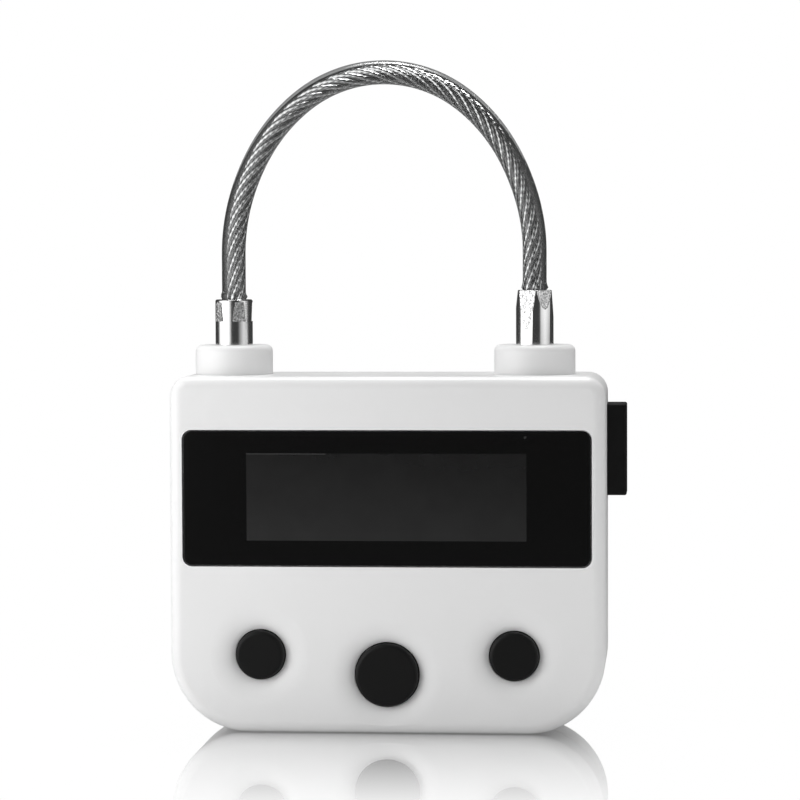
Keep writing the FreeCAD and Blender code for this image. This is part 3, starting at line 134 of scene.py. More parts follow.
def softbox(name, azimuth, elevation, distance, width, height, power):
    """A rectangular lamp, turned to the object's middle; its own middle gains what its edges lose."""
    lamp_data = bpy.data.lights.new(name, "AREA")
    lamp_data.shape = "RECTANGLE"
    lamp_data.size, lamp_data.size_y = width, height
    lamp_data.energy = power
    lamp_data.use_nodes = True
    lamp_data.node_tree.nodes.clear()
    glow = Wire(lamp_data.node_tree)
    place = glow.add("ShaderNodeNewGeometry", output="Parametric")
    strength = (1 + 1 / EDGE_DIMMING) ** 2
    for axis in "XY":
        off_centre = abs(glow.add("ShaderNodeSeparateXYZ", None, {0: place}, output=axis) - 0.5) * 2
        strength = (1 - glow.maths("POWER", off_centre, EDGE_DIMMING)) * strength
    glow.add("ShaderNodeOutputLight", None, {
        "Surface": glow.add("ShaderNodeEmission", None, {"Strength": strength}),
    })
    lamp = bpy.data.objects.new(name, lamp_data)
    bpy.context.scene.collection.objects.link(lamp)
    level, rise = math.radians(azimuth), math.radians(elevation)
    towards = Vector((math.sin(level) * math.cos(rise), -math.cos(level) * math.cos(rise), math.sin(rise)))
    lamp.location = LAMPS_FACE + towards * distance
    lamp.rotation_euler = towards.to_track_quat("Z", "Y").to_euler()


softbox("left_panel", azimuth=-58, elevation=7, distance=0.18, width=0.34, height=0.40, power=0.33)
softbox("right_panel", azimuth=70, elevation=12, distance=0.62, width=1.00, height=0.60, power=0.72)
softbox("top_panel", azimuth=180, elevation=76, distance=0.70, width=0.50, height=0.36, power=4.2)


# The surroundings: white to the camera and in the polished floor, pale grey through clear
# plastic, and dark to what is polished, as in a studio with black cloth round the lamps.
STUDIO_FILL = 0.33
STUDIO_DARK = 0.05
world = bpy.data.worlds.new("studio")
bpy.context.scene.world = world
world.use_nodes = True
world.node_tree.nodes.clear()
sky = Wire(world.node_tree)


def ray(tree, kind):
    """What a ray is or has met, such as Is Camera Ray, which is 1 for those rays and 0 for the rest."""
    return tree.add("ShaderNodeLightPath", output=kind)


plain_sight = ray(sky, "Is Camera Ray") | ray(sky, "Is Singular Ray")
out_of_sheath = ray(sky, "Is Transmission Ray") & (ray(sky, "Glossy Depth") > 0.5)
mirrored = ray(sky, "Is Glossy Ray") | out_of_sheath
brightness = plain_sight + (1 - plain_sight) * (STUDIO_FILL + mirrored * (STUDIO_DARK - STUDIO_FILL))
sky.add("ShaderNodeOutputWorld", None, {
    "Surface": sky.add("ShaderNodeBackground", None, {"Color": (1, 1, 1, 1), "Strength": brightness}),
})


# The floor is a white polished sheet, no larger than a small table. It mirrors the object near
# its foot, the mirror fades out further away, and a faint soft shadow stays under the object.
# What is polished mirrors it as an even grey.
FLOOR_SIZE = 0.38
FOOT_HALF = (32.5 * MM, 10.0 * MM)
MIRROR_REACH = 68 * MM
MIRROR_AT_FOOT = 0.96
FLOOR_SHADE = 0.85
FLOOR_OWN_LIGHT = 0.93
FLOOR_IN_METAL = 0.32
bpy.ops.mesh.primitive_plane_add(size=FLOOR_SIZE, location=(0, 0, 0))
floor = bpy.context.object
floor.name = "floor"


def finish(name):
    """A new material with an empty node tree."""
    paint = bpy.data.materials.new(name)
    paint.use_nodes = True
    paint.node_tree.nodes.clear()
    return paint, Wire(paint.node_tree)


def along(tree, axis):
    """How far a point lies along one axis, in the piece's own place."""
    spot = tree.add("ShaderNodeTexCoord", output="Object")
    return tree.add("ShaderNodeSeparateXYZ", None, {0: spot}, output=axis)


floor_paint, ground = finish("polished_white_floor")
beyond = [(abs(along(ground, axis)) - half) | 0.0 for axis, half in zip("XY", FOOT_HALF)]
from_foot = ground.maths("SQRT", beyond[0] * beyond[0] + beyond[1] * beyond[1])
mirror = ((1 - from_foot / MIRROR_REACH) | 0.0) * MIRROR_AT_FOOT
in_sight = ray(ground, "Is Camera Ray")
in_metal = ray(ground, "Is Glossy Ray") | ray(ground, "Is Transmission Ray")
own_light = (FLOOR_OWN_LIGHT + from_foot / MIRROR_REACH * (1 - FLOOR_OWN_LIGHT)) & 1.0
plain = ground.add("ShaderNodeMixShader", None, {
    0: (in_sight * own_light) | in_metal,
    1: ground.add("ShaderNodeBsdfDiffuse", None, {"Color": (FLOOR_SHADE, FLOOR_SHADE, FLOOR_SHADE, 1)}),
    2: ground.add("ShaderNodeEmission", None, {"Strength": in_sight + (1 - in_sight) * FLOOR_IN_METAL}),
})
polish = ground.add("ShaderNodeBsdfGlossy", None, {"Color": (1, 1, 1, 1), "Roughness": 0.0})
ground.add("ShaderNodeOutputMaterial", None, {
    "Surface": ground.add("ShaderNodeMixShader", None, {0: mirror * in_sight, 1: plain, 2: polish}),
})
floor.data.materials.append(floor_paint)


# The cable is one free piece from ferrule to ferrule, and stands up in an arch by its own
# stiffness. Its route rises straight out of the heel and comes straight down into the toe.
CABLE_ROUTE = [
    (-23.9, 57.0), (-23.9, 65.7), (-23.9, 77.1), (-19.8, 87.8), (-13.1, 95.2), (-5.35, 98.7),
    (3.15, 98.7), (10.9, 95.2), (17.6, 87.8), (21.7, 77.1), (21.7, 66.5), (21.7, 58.3),
]
HEEL_X, TOE_X = CABLE_ROUTE[0][0] * MM, CABLE_ROUTE[-1][0] * MM
HEEL_TOP, TOE_TOP = 64.6 * MM, 65.9 * MM
CABLE_STEP = 0.4 * MM
route_curve = bpy.data.curves.new("cable_route", "CURVE")
route_curve.dimensions = "3D"
route_curve.resolution_u = 24
spline = route_curve.splines.new("NURBS")
spline.points.add(len(CABLE_ROUTE) - 1)
for point, (across, up) in zip(spline.points, CABLE_ROUTE):
    point.co = (across * MM, 0, up * MM, 1)
spline.order_u = 3
spline.use_endpoint_u = True
route = bpy.data.objects.new("cable_route", route_curve)
bpy.context.scene.collection.objects.link(route)
bpy.context.view_layer.update()
route_line = [corner.co.copy() for corner in bpy.data.meshes.new_from_object(route).vertices]
bpy.data.objects.remove(route)


def stations(line, step):
    """Even steps along a line: the distance run, the place, and the two directions across it."""
    runs = [0.0]
    for before, after in zip(line, line[1:]):
        runs.append(runs[-1] + (after - before).length)
    count = round(runs[-1] / step)
    places, span = [], 0
    for number in range(count + 1):
        run = runs[-1] * number / count
        while span < len(line) - 2 and runs[span + 1] < run:
            span += 1
        share = (run - runs[span]) / (runs[span + 1] - runs[span])
        places.append((run, line[span].lerp(line[span + 1], share)))
    found = []
    for number, (run, place) in enumerate(places):
        ahead = places[min(number + 1, count)][1] - places[max(number - 1, 0)][1]
        inward = Vector((0, 1, 0)).cross(ahead).normalized()
        found.append((run, place, inward, ahead.cross(inward).normalized()))
    return found


steps = stations(route_line, CABLE_STEP)


# The rope: six right-hand strands round a core, each of seven bright wires laid the other way.
# It lies against the inside of the bend in its sheath.
STRANDS, STRAND_WIRES, WIRE_CORNERS = 6, 7, 5
STRAND_RADIUS, STRAND_CENTRE = 0.41 * MM, 0.80 * MM
ROPE_LAY, STRAND_LAY = 15.5 * MM, 6.5 * MM
ROPE_OFF_CENTRE, WIRE_RELIEF = 0.38 * MM, 0.32
wire_share = math.sin(math.pi / STRAND_WIRES)
WIRE_RADIUS = STRAND_RADIUS * wire_share / (1 + wire_share)
WIRE_CENTRE = STRAND_RADIUS - WIRE_RADIUS


def sweep(name, tubes, sides, capped=True):
    """One mesh of tubes, each given as its centres, its turn and its outline at each centre."""
    corners, faces = [], []
    for centres, turns, outlines in tubes:
        first = len(corners)
        for number, (centre, turn, outline) in enumerate(zip(centres, turns, outlines)):
            ahead = centres[min(number + 1, len(centres) - 1)] - centres[max(number - 1, 0)]
            inward = Vector((0, 1, 0)).cross(ahead).normalized()
            sideways = ahead.cross(inward).normalized()
            for side in range(sides):
                angle = turn + 2 * math.pi * side / sides
                outward = inward * math.cos(angle) + sideways * math.sin(angle)
                corners.append(centre + outward * outline(angle))
        for number in range(len(centres) - 1):
            ring = first + number * sides
            for side in range(sides):
                beside = (side + 1) % sides
                faces.append((ring + side, ring + beside, ring + sides + beside, ring + sides + side))
        if capped:
            last = first + (len(centres) - 1) * sides
            faces.append(tuple(first + side for side in reversed(range(sides))))
            faces.append(tuple(last + side for side in range(sides)))
    mesh = bpy.data.meshes.new(name)
    mesh.from_pydata(corners, [], faces)
    piece = bpy.data.objects.new(name, mesh)
    bpy.context.scene.collection.objects.link(piece)
    for face in mesh.polygons:
        face.use_smooth = True
    return piece


def strand_outline(twist):
    """A strand's outline at one place of its run: its wires' crests, worn and filled between by vinyl."""
    spacing = 2 * math.pi / STRAND_WIRES

    def reach(angle):
        off = (angle - twist + spacing / 2) % spacing - spacing / 2
        height = max(0.0, WIRE_RADIUS ** 2 - (WIRE_CENTRE * math.sin(off)) ** 2)
        crest = WIRE_CENTRE * math.cos(off) + math.sqrt(height)
        return STRAND_RADIUS - (STRAND_RADIUS - crest) * WIRE_RELIEF
    return reach


twists = [-2 * math.pi * run / STRAND_LAY for run, place, inward, sideways in steps]
outlines = [strand_outline(twist) for twist in twists]
strands = []
for strand in range(STRANDS + 1):
    centres = []
    for run, place, inward, sideways in steps:
        lay = 2 * math.pi * (run / ROPE_LAY + strand / STRANDS)
        off_core = (inward * math.cos(lay) + sideways * math.sin(lay)) * STRAND_CENTRE
        centres.append(place + inward * ROPE_OFF_CENTRE + (off_core if strand < STRANDS else Vector()))
    strands.append((centres, twists, outlines))
rope = sweep("stranded_rope", strands, sides=STRAND_WIRES * WIRE_CORNERS)


def surface(tree, sockets):
    """Ends a node tree in one Principled shader with these sockets."""
    shader = tree.add("ShaderNodeBsdfPrincipled", None, sockets)
    tree.add("ShaderNodeOutputMaterial", None, {"Surface": shader})


def noise(tree, scale, detail=2.0, stretch=(1, 1, 1)):
    """Even noise round a half, in the piece's own place, at so many waves a metre."""
    spot = tree.add("ShaderNodeTexCoord", output="Object")
    stretched = tree.add("ShaderNodeMapping", None, {"Vector": spot, "Scale": stretch})
    return tree.add("ShaderNodeTexNoise", None, {"Vector": stretched, "Scale": scale, "Detail": detail})


def tinted(tree, shade, tint=(1, 1, 1)):
    """A colour from one value: grey, or darker and lighter tones of a tint."""
    parts = {name: shade * part for name, part in zip(("Red", "Green", "Blue"), tint)}
    return tree.add("ShaderNodeCombineColor", None, parts)


drawn_wire, tree = finish("bright_drawn_wire")
wear = noise(tree, scale=700)
surface(tree, {
    "Base Color": tinted(tree, 0.44 + wear * 0.22),
    "Metallic": 1.0,
    "Roughness": 0.17 + wear * 0.08,
})
rope.data.materials.append(drawn_wire)
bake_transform(rope)
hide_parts("wire_rope")


# The sheath: clear vinyl, drawn tight over the rope so that it fills the grooves between the
# strands, and flared and crinkled where each ferrule is pressed on it.
SHEATH_RADIUS, SHEATH_BORE = 1.8 * MM, 0.55 * MM
SHEATH_SIDES = 48
FLARE, FLARE_LENGTH = 0.26 * MM, 1.3 * MM
CRINKLE, CRINKLES, CRINKLE_TWIST = 0.11 * MM, 7, 9000
STRAIGHT_LEG = 0.1 * MM
mouths = (Vector((HEEL_X, 0, HEEL_TOP)), Vector((TOE_X, 0, TOE_TOP)))


def sheath_outline(place):
    """The sheath's outline at one place of its route."""
    near = min((place - mouth).length for mouth in mouths)
    inside = any(abs(place.x - mouth.x) < STRAIGHT_LEG and place.z < mouth.z for mouth in mouths)
    share = 0 if inside else max(0.0, 1 - near / FLARE_LENGTH)
    flared = SHEATH_RADIUS + share * share * (3 - 2 * share) * FLARE
    return lambda angle: flared + share * CRINKLE * math.sin(CRINKLES * angle + CRINKLE_TWIST * place.z)


def change(piece, kind, **settings):
    """Adds a modifier with these settings to a piece and applies it."""
    modifier = piece.modifiers.new("change", kind)
    for name, value in settings.items():
        setattr(modifier, name, value)
    bpy.context.view_layer.objects.active = piece
    bpy.ops.object.modifier_apply(modifier=modifier.name)


centres, straight = [step[1] for step in steps], [0.0] * len(steps)
sheath = sweep("clear_sheath", [(centres, straight, [sheath_outline(place) for place in centres])],
               SHEATH_SIDES, capped=False)
change(sheath, "SOLIDIFY", thickness=SHEATH_RADIUS - SHEATH_BORE, offset=-1)

clear_vinyl, tree = finish("clear_vinyl")
glassy = tree.add("ShaderNodeBsdfPrincipled", None, {
    "Base Color": (0.93, 0.94, 0.94, 1),
    "Roughness": 0.03,
    "IOR": 1.45,
    "Transmission Weight": 1.0,
})
lit_through = tree.add("ShaderNodeBsdfTransparent", None, {"Color": (0.9, 0.9, 0.9, 1)})
in_shadow = ray(tree, "Is Shadow Ray")
tree.add("ShaderNodeOutputMaterial", None, {
    "Surface": tree.add("ShaderNodeMixShader", None, {0: in_shadow, 1: glassy, 2: lit_through}),
})
sheath.data.materials.append(clear_vinyl)
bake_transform(sheath)
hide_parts("cable_sheath")


# The case: two halves moulded in white satin ABS, which meet in a fine chamfered line round
# the middle, with painted shade along it. The front one has the window's recess and a dish round each button.
JOINT_LINE, JOINT_PAINTED_SHADE = 0.16 * MM, 0.45
CLOUD_SCALE, CLOUD_SHADE, CLOUD_ROUGHNESS = 90, 0.02, 0.06
GRAIN_SCALE, GRAIN_DEPTH, GRAIN_ROUGHNESS = 5200, 0.0015 * MM, 0.08


def bump(tree, height, depth):
    """A normal from a height of 0 to 1 that stands for a depth in metres."""
    return tree.add("ShaderNodeBump", None, {"Height": height, "Distance": depth, "Strength": 1.0})


def moulded(name, shade, roughness, tint=(1, 1, 1), shaded_joint=False):
    """Satin moulded plastic, faintly clouded; with shaded_joint, painted shade darkens the line where its
    halves meet.
    """
    paint, tree = finish(name)
    if shaded_joint:
        # Painted shade along the joint line, where the halves' chamfers meet.
        joint_shade_mask = abs(along(tree, "Y")) < JOINT_LINE
        shade = (joint_shade_mask * (JOINT_PAINTED_SHADE - 1) + 1) * shade
    cloud = noise(tree, CLOUD_SCALE, detail=3.0) - 0.5
    grain = noise(tree, GRAIN_SCALE, detail=1.0)
    surface(tree, {
        "Base Color": tinted(tree, cloud * CLOUD_SHADE + shade, tint),
        "Roughness": cloud * CLOUD_ROUGHNESS + (grain - 0.5) * GRAIN_ROUGHNESS + roughness,
        "Normal": bump(tree, grain, GRAIN_DEPTH),
    })
    return paint


def dress(paint, *names):
    """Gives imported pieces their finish."""
    for name in names:
        nodes[name].data.materials.clear()
        nodes[name].data.materials.append(paint)


dress(moulded("white_satin_abs", 0.80, 0.36, shaded_joint=True), "front_shell", "rear_shell")
dress(moulded("white_collar_abs", 0.83, 0.40), "heel_collar", "toe_collar")


# The window: a smoked acrylic plate with polished edges, sunk in the front. It is black at
# the back but for the clear area in its middle, where the unlit grey display shows.
WINDOW_CORNER, WINDOW_EDGE = 1.3 * MM, 0.12 * MM
VIEW_HALF_WIDTH, VIEW_LOW, VIEW_HIGH = 20.85 * MM, 28.85 * MM, 41.85 * MM
PRINT_BLACK, DISPLAY_TOP, DISPLAY_BOTTOM = 0.004, 0.013, 0.024
# The display's painted shade: darker at its top than at its bottom, and dimmer rightwards.
DISPLAY_PAINTED_SHADE_RIGHTWARDS = 0.06
MOTTLE_SCALE, MOTTLE_SHADE = 260, 0.006
# A painted highlight: a thin lighter line along the left part of the display's top edge.
TOP_HIGHLIGHT_WIDTH, TOP_HIGHLIGHT_END, TOP_HIGHLIGHT_LIFT = 0.14 * MM, -9 * MM, 0.03
DUST_SCALE, DUST_FROM, DUST_SHADE, DUST_ROUGHNESS = 800, 0.885, 0.02, 0.3
PARALLEL, FRONT_LAYER = 0.9, 0.01 * MM


def pick(piece, kind, wanted):
    """Selects in edit mode the edges or faces whose middle and direction are wanted."""
    bpy.context.view_layer.objects.active = piece
    if piece.mode != "EDIT":
        bpy.ops.object.mode_set(mode="EDIT")
    bpy.ops.mesh.select_mode(type=kind)
    bpy.ops.mesh.select_all(action="DESELECT")
    mesh = bmesh.from_edit_mesh(piece.data)
    if kind == "EDGE":
        for edge in mesh.edges:
            one, other = (corner.co for corner in edge.verts)
            edge.select_set(wanted((one + other) / 2, (other - one).normalized()))
    else:
        mesh.normal_update()
        for face in mesh.faces:
            face.select_set(wanted(face.calc_center_median(), face.normal))
    bmesh.update_edit_mesh(piece.data)


def block(name, low, high):
    """A box between two corners, in place and ready to be shaped."""
    low, high = Vector(low), Vector(high)
    bpy.ops.object.select_all(action="DESELECT")
    bpy.ops.mesh.primitive_cube_add(size=1, location=(low + high) / 2)
    piece = bpy.context.object
    piece.name = name
    piece.scale = high - low
    bpy.ops.object.transform_apply(location=True, rotation=False, scale=True)
    return piece


def smooth(piece, sharp):
    """Shades a piece smoothly between its sharp edges, and keeps its large flat faces flat."""
    bpy.context.view_layer.objects.active = piece
    if piece.mode == "EDIT":
        bpy.ops.object.mode_set(mode="OBJECT")
    bpy.ops.object.select_all(action="DESELECT")
    piece.select_set(True)
    bpy.ops.object.shade_smooth_by_angle(angle=math.radians(sharp))
    change(piece, "WEIGHTED_NORMAL", keep_sharp=True)


def done(piece, paint, body, sharp=30):
    """Shades a piece, and gives it its finish, slot and body."""
    smooth(piece, sharp)
    piece.data.materials.clear()
    piece.data.materials.append(paint)
    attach(piece, body)


window_low, window_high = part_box("display_window")
window = block("smoked_window", window_low, window_high)
pick(window, "EDGE", lambda middle, way: abs(way.y) > PARALLEL)
bpy.ops.mesh.bevel(offset=WINDOW_CORNER, segments=10, affect="EDGES")
pick(window, "EDGE", lambda middle, way: middle.y < window_low.y + FRONT_LAYER)
bpy.ops.mesh.bevel(offset=WINDOW_EDGE, segments=3, affect="EDGES")

smoked, tree = finish("smoked_acrylic")
across, up = along(tree, "X"), along(tree, "Z")
in_view = (abs(across) < VIEW_HALF_WIDTH) & (up > VIEW_LOW) & (up < VIEW_HIGH)
# Painted shade on the display: darker towards its top and towards its right.
painted_light_downwards = (VIEW_HIGH - up) / (VIEW_HIGH - VIEW_LOW)
mottle = (noise(tree, MOTTLE_SCALE, detail=4.0) - 0.5) * MOTTLE_SHADE
display = DISPLAY_TOP + painted_light_downwards * (DISPLAY_BOTTOM - DISPLAY_TOP) - across * DISPLAY_PAINTED_SHADE_RIGHTWARDS + mottle
# Painted highlight along the display's top edge, on its left part.
painted_top_highlight = (up > VIEW_HIGH - TOP_HIGHLIGHT_WIDTH) & (across < TOP_HIGHLIGHT_END)
dust = noise(tree, DUST_SCALE, detail=0.0) > DUST_FROM
shade = PRINT_BLACK + in_view * (display - PRINT_BLACK + painted_top_highlight * TOP_HIGHLIGHT_LIFT) + dust * DUST_SHADE
surface(tree, {
    "Base Color": tinted(tree, shade),
    "Roughness": 0.07 + noise(tree, scale=120) * 0.05 + dust * DUST_ROUGHNESS,
    "Normal": bump(tree, noise(tree, scale=70), 0.004 * MM),
    "IOR": 1.49,
})
done(window, smoked, "root")
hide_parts("display_window")


# The buttons: matt black caps with a rounded edge, each on a wider flange that holds it
# behind the front, with a stem towards its switch.
CAP_EDGE = 0.62 * MM
CAP_BACK, FLANGE_BACK = -8.0 * MM, -7.3 * MM
FLANGE_OVERLAP, STEM_RADIUS = 0.85 * MM, 1.6 * MM
key_black, tree = finish("matt_black_key")
grain = noise(tree, scale=5000)
surface(tree, {
    "Base Color": tinted(tree, 0.003 + grain * 0.003),
    "Roughness": 0.46 + grain * 0.16,
    "Normal": bump(tree, grain, 0.006 * MM),
    "Specular IOR Level": 0.28,
})


def widen(factor, centre):
    """Extrudes the picked face in place and makes the new one wider or narrower."""
    bpy.ops.mesh.extrude_region_move(TRANSFORM_OT_translate={"value": (0, 0, 0)})
    bpy.ops.transform.resize(value=(factor, 1, factor), center_override=centre)


def push(depth):
    """Extrudes the picked face backwards."""
    bpy.ops.mesh.extrude_region_move(TRANSFORM_OT_translate={"value": (0, depth, 0)})


for side in ("left", "middle", "right"):
    low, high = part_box(f"{side}_button")
    centre = (low + high) / 2
    radius = (high.x - low.x) / 2 - FLANGE_OVERLAP
    bpy.ops.object.select_all(action="DESELECT")
    bpy.ops.mesh.primitive_cylinder_add(
        vertices=96, radius=radius, depth=CAP_BACK - low.y, rotation=(math.pi / 2, 0, 0),
        location=(centre.x, (low.y + CAP_BACK) / 2, centre.z))
    cap = bpy.context.object
    cap.name = f"{side}_cap"
    bpy.ops.object.transform_apply(location=True, rotation=True, scale=True)
    pick(cap, "FACE", lambda middle, way: way.y > PARALLEL)
    widen((radius + FLANGE_OVERLAP) / radius, centre)
    push(FLANGE_BACK - CAP_BACK)
    widen(STEM_RADIUS / (radius + FLANGE_OVERLAP), centre)
    push(high.y - FLANGE_BACK)
    pick(cap, "EDGE", lambda middle, way: middle.y < low.y + FRONT_LAYER)
    bpy.ops.mesh.bevel(offset=CAP_EDGE, segments=8, affect="EDGES")
    done(cap, key_black, f"{side}_key", sharp=40)
    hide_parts(f"{side}_button")


# The ferrules: bright plated steel barrels, crimped on the ends of the cable with a tool that
# leaves flats. The toe's runs on into a stud with a groove that the bolt takes.
BARREL_RADIUS, BORE_RADIUS, BORE_DEPTH, RIM = 2.82, 1.85, 7.6, 0.28
TIP_CHAMFER, GROOVE_RADIUS, GROOVE_LOW, GROOVE_HIGH = 0.7, 1.7, 46.75, 49.25
ANVIL_HALF_WIDTH, ANVIL_REACH = 4, 9
HEEL_FLATS, HEEL_FIRST_FLAT, HEEL_FLAT_DISTANCE, HEEL_FLAT_LEAN = 5, 24, 2.62, 2.4
HEEL_CRIMP_LOW, HEEL_CRIMP_HIGH = 61.3, 64.15
TOE_FLAT_LENGTHS, TOE_FIRST_FLAT, TOE_FLAT_DEPTH = (2.9, 4.2, 3.0, 3.6, 2.8, 6.0), 36, 0.36
TOE_ANVIL_BELOW, TOE_ANVIL_ABOVE = 8, 1
FERRULE_EDGE, FERRULE_EDGE_FROM = 0.05 * MM, 20
PRINT_DEPTH, DRAWN_DEPTH = 0.10 * MM, 0.0012 * MM


def turned(name, x, profile, sides=96):
    """A round piece on an upright axis, spun from its half section in millimetres."""
    mesh = bpy.data.meshes.new(name)
    mesh.from_pydata([(x + reach * MM, 0, up * MM) for reach, up in profile],
                     [(number, number + 1) for number in range(len(profile) - 1)], [])
    piece = bpy.data.objects.new(name, mesh)
    bpy.context.scene.collection.objects.link(piece)
    bpy.ops.object.select_all(action="DESELECT")
    piece.select_set(True)
    bpy.context.view_layer.objects.active = piece
    bpy.ops.object.mode_set(mode="EDIT")
    bpy.ops.mesh.select_all(action="SELECT")
    bpy.ops.mesh.spin(steps=sides, angle=2 * math.pi, center=(x, 0, 0), axis=(0, 0, 1))
    bpy.ops.mesh.select_all(action="SELECT")
    bpy.ops.mesh.remove_doubles(threshold=0.001 * MM)
    bpy.ops.mesh.normals_make_consistent(inside=False)
    bpy.ops.object.mode_set(mode="OBJECT")
    return piece


def rounded(reach, up, radius):
    """The outer upper corner of a half section as a quarter of a circle."""
    angles = [math.radians(turn) for turn in range(0, 91, 15)]
    return [(reach - radius + radius * math.cos(angle), up - radius + radius * math.sin(angle))
            for angle in angles]


def carve(piece, cutters):
    """Takes the cutters' shapes out of a piece, and their finish goes on the cut faces."""
    for cutter in cutters:
        change(piece, "BOOLEAN", object=cutter, operation="DIFFERENCE", solver="EXACT",
               material_mode="TRANSFER")
        bpy.data.objects.remove(cutter)


def plated(name, hammered):
    """Bright plating; the crimped flats are stamped with a fine uneven print, painted darker in its hollows
    and lighter on its crests as painted shade and highlight.
    """
    paint, tree = finish(name)
    wear = noise(tree, scale=500, detail=4.0)
    if hammered:
        relief, depth, roughness = noise(tree, scale=4200, detail=1.0), PRINT_DEPTH, 0.24
        # Painted shade and highlight of the print: its hollows darker, its crests lighter.
        tone = (relief - 0.5) * 2.0 + 0.72
    else:
        relief, depth, roughness = noise(tree, scale=1500, stretch=(1, 1, 0.08)), DRAWN_DEPTH, 0.14
        tone = wear * 0.1 + 0.74
    surface(tree, {
        "Base Color": tinted(tree, tone),
        "Metallic": 1.0,
        "Roughness": roughness + wear * 0.08,
        "Normal": bump(tree, relief, depth),
    })
    return paint


chrome, crimped = plated("bright_plating", False), plated("crimped_plating", True)


def anvil(x, angle, distance, low, high, lean, hinge):
    """One face of the crimping tool: a block that leans away round a level line at the hinge's height."""
    piece = block("anvil", (-ANVIL_HALF_WIDTH * MM, -ANVIL_REACH * MM, low * MM),
                  (ANVIL_HALF_WIDTH * MM, -distance * MM, high * MM))
    swing = Matrix.Translation((0, -distance * MM, hinge * MM)) @ Matrix.Rotation(math.radians(lean), 4, "X")
    swing = swing @ Matrix.Translation((0, distance * MM, -hinge * MM))
    piece.data.transform(Matrix.Translation((x, 0, 0)) @ Matrix.Rotation(math.radians(angle), 4, "Z") @ swing)
    piece.data.materials.append(crimped)
    return piece


def barrel(name, x, low, groove, high):
    """A ferrule's turned form, from its chamfered tip to its rounded rim and down its bore."""
    profile = [(0, low), (BARREL_RADIUS - TIP_CHAMFER, low), (BARREL_RADIUS, low + TIP_CHAMFER)]
    profile += groove + rounded(BARREL_RADIUS, high, RIM)
    profile += [(BORE_RADIUS, high), (BORE_RADIUS, high - BORE_DEPTH), (0, high - BORE_DEPTH)]
    piece = turned(name, x, profile)
    piece.data.materials.append(chrome)
    return piece


def plate(piece, body, node):
    """Breaks a ferrule's sharp edges and shades it; its two finishes are on it already."""
    change(piece, "BEVEL", width=FERRULE_EDGE, segments=2, limit_method="ANGLE",
           angle_limit=math.radians(FERRULE_EDGE_FROM))
    smooth(piece, sharp=30)
    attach(piece, body)
    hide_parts(node)


heel_low, heel_high = (corner.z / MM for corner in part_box("heel_ferrule"))
toe_low, toe_high = (corner.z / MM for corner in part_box("toe_ferrule"))
heel = barrel("crimped_heel", HEEL_X, heel_low, [], heel_high)
carve(heel, [anvil(HEEL_X, HEEL_FIRST_FLAT + 360 / HEEL_FLATS * number, HEEL_FLAT_DISTANCE,
                   HEEL_CRIMP_LOW, HEEL_CRIMP_HIGH, HEEL_FLAT_LEAN, HEEL_CRIMP_LOW)
             for number in range(HEEL_FLATS)])
plate(heel, "root", "heel_ferrule")

toe = barrel("crimped_toe", TOE_X, toe_low, [
    (BARREL_RADIUS, GROOVE_LOW), (GROOVE_RADIUS, GROOVE_LOW), (GROOVE_RADIUS, GROOVE_HIGH),
    (BARREL_RADIUS, GROOVE_HIGH),
], toe_high)
carve(toe, [anvil(TOE_X, TOE_FIRST_FLAT + 360 / len(TOE_FLAT_LENGTHS) * number, BARREL_RADIUS,
                  toe_high - TOE_ANVIL_BELOW, toe_high + TOE_ANVIL_ABOVE,
                  -math.degrees(math.atan(TOE_FLAT_DEPTH / length)), toe_high - length)
            for number, length in enumerate(TOE_FLAT_LENGTHS)])
plate(toe, "shackle_toe", "toe_ferrule")


# The plug over the charging port: soft matt black rubber, pushed in from the right. It keeps
# dust out of the socket.
rubber, tree = finish("matt_black_rubber")
grain = noise(tree, scale=2400, detail=3.0)
surface(tree, {
    "Base Color": tinted(tree, 0.004 + grain * 0.003),
    "Roughness": 0.62 + grain * 0.16,
    "Normal": bump(tree, grain, 0.01 * MM),
    "Specular IOR Level": 0.25,
})
dress(rubber, "port_plug")


# The case's screws: four zinc plated pan heads with a cross recess, sunk in the back. They hold
# the two halves together.
HEAD_RADIUS, HEAD_LOW, HEAD_HIGH, HEAD_ROUND = 1.8, 8.4, 9.6, 0.5
SHANK_RADIUS, SHANK_END, SHANK_TIP = 1.0, -6.6, 0.5
RECESS_DEPTH, RECESS_REACH, RECESS_HALF_WIDTH, RECESS_ABOVE = 0.75, 1.05, 0.18, 1
SCREW_PLACES = ((-26.5, 6.0), (26.5, 6.0), (-14.3, 47.7), (28.0, 47.7))
SCREW_TURN = 37


def bare_metal(name, tint, roughness, stretch=(1, 1, 1)):
    """Metal as it comes from the tool or the bath: fine marks along the stretch, a little tarnish."""
    paint, tree = finish(name)
    tarnish = noise(tree, scale=240, detail=4.0)
    marks = noise(tree, scale=2600, stretch=stretch)
    surface(tree, {
        "Base Color": tinted(tree, 0.86 + tarnish * 0.2, tint),
        "Metallic": 1.0,
        "Roughness": roughness + marks * 0.14,
        "Normal": bump(tree, marks, 0.002 * MM),
    })
    return paint


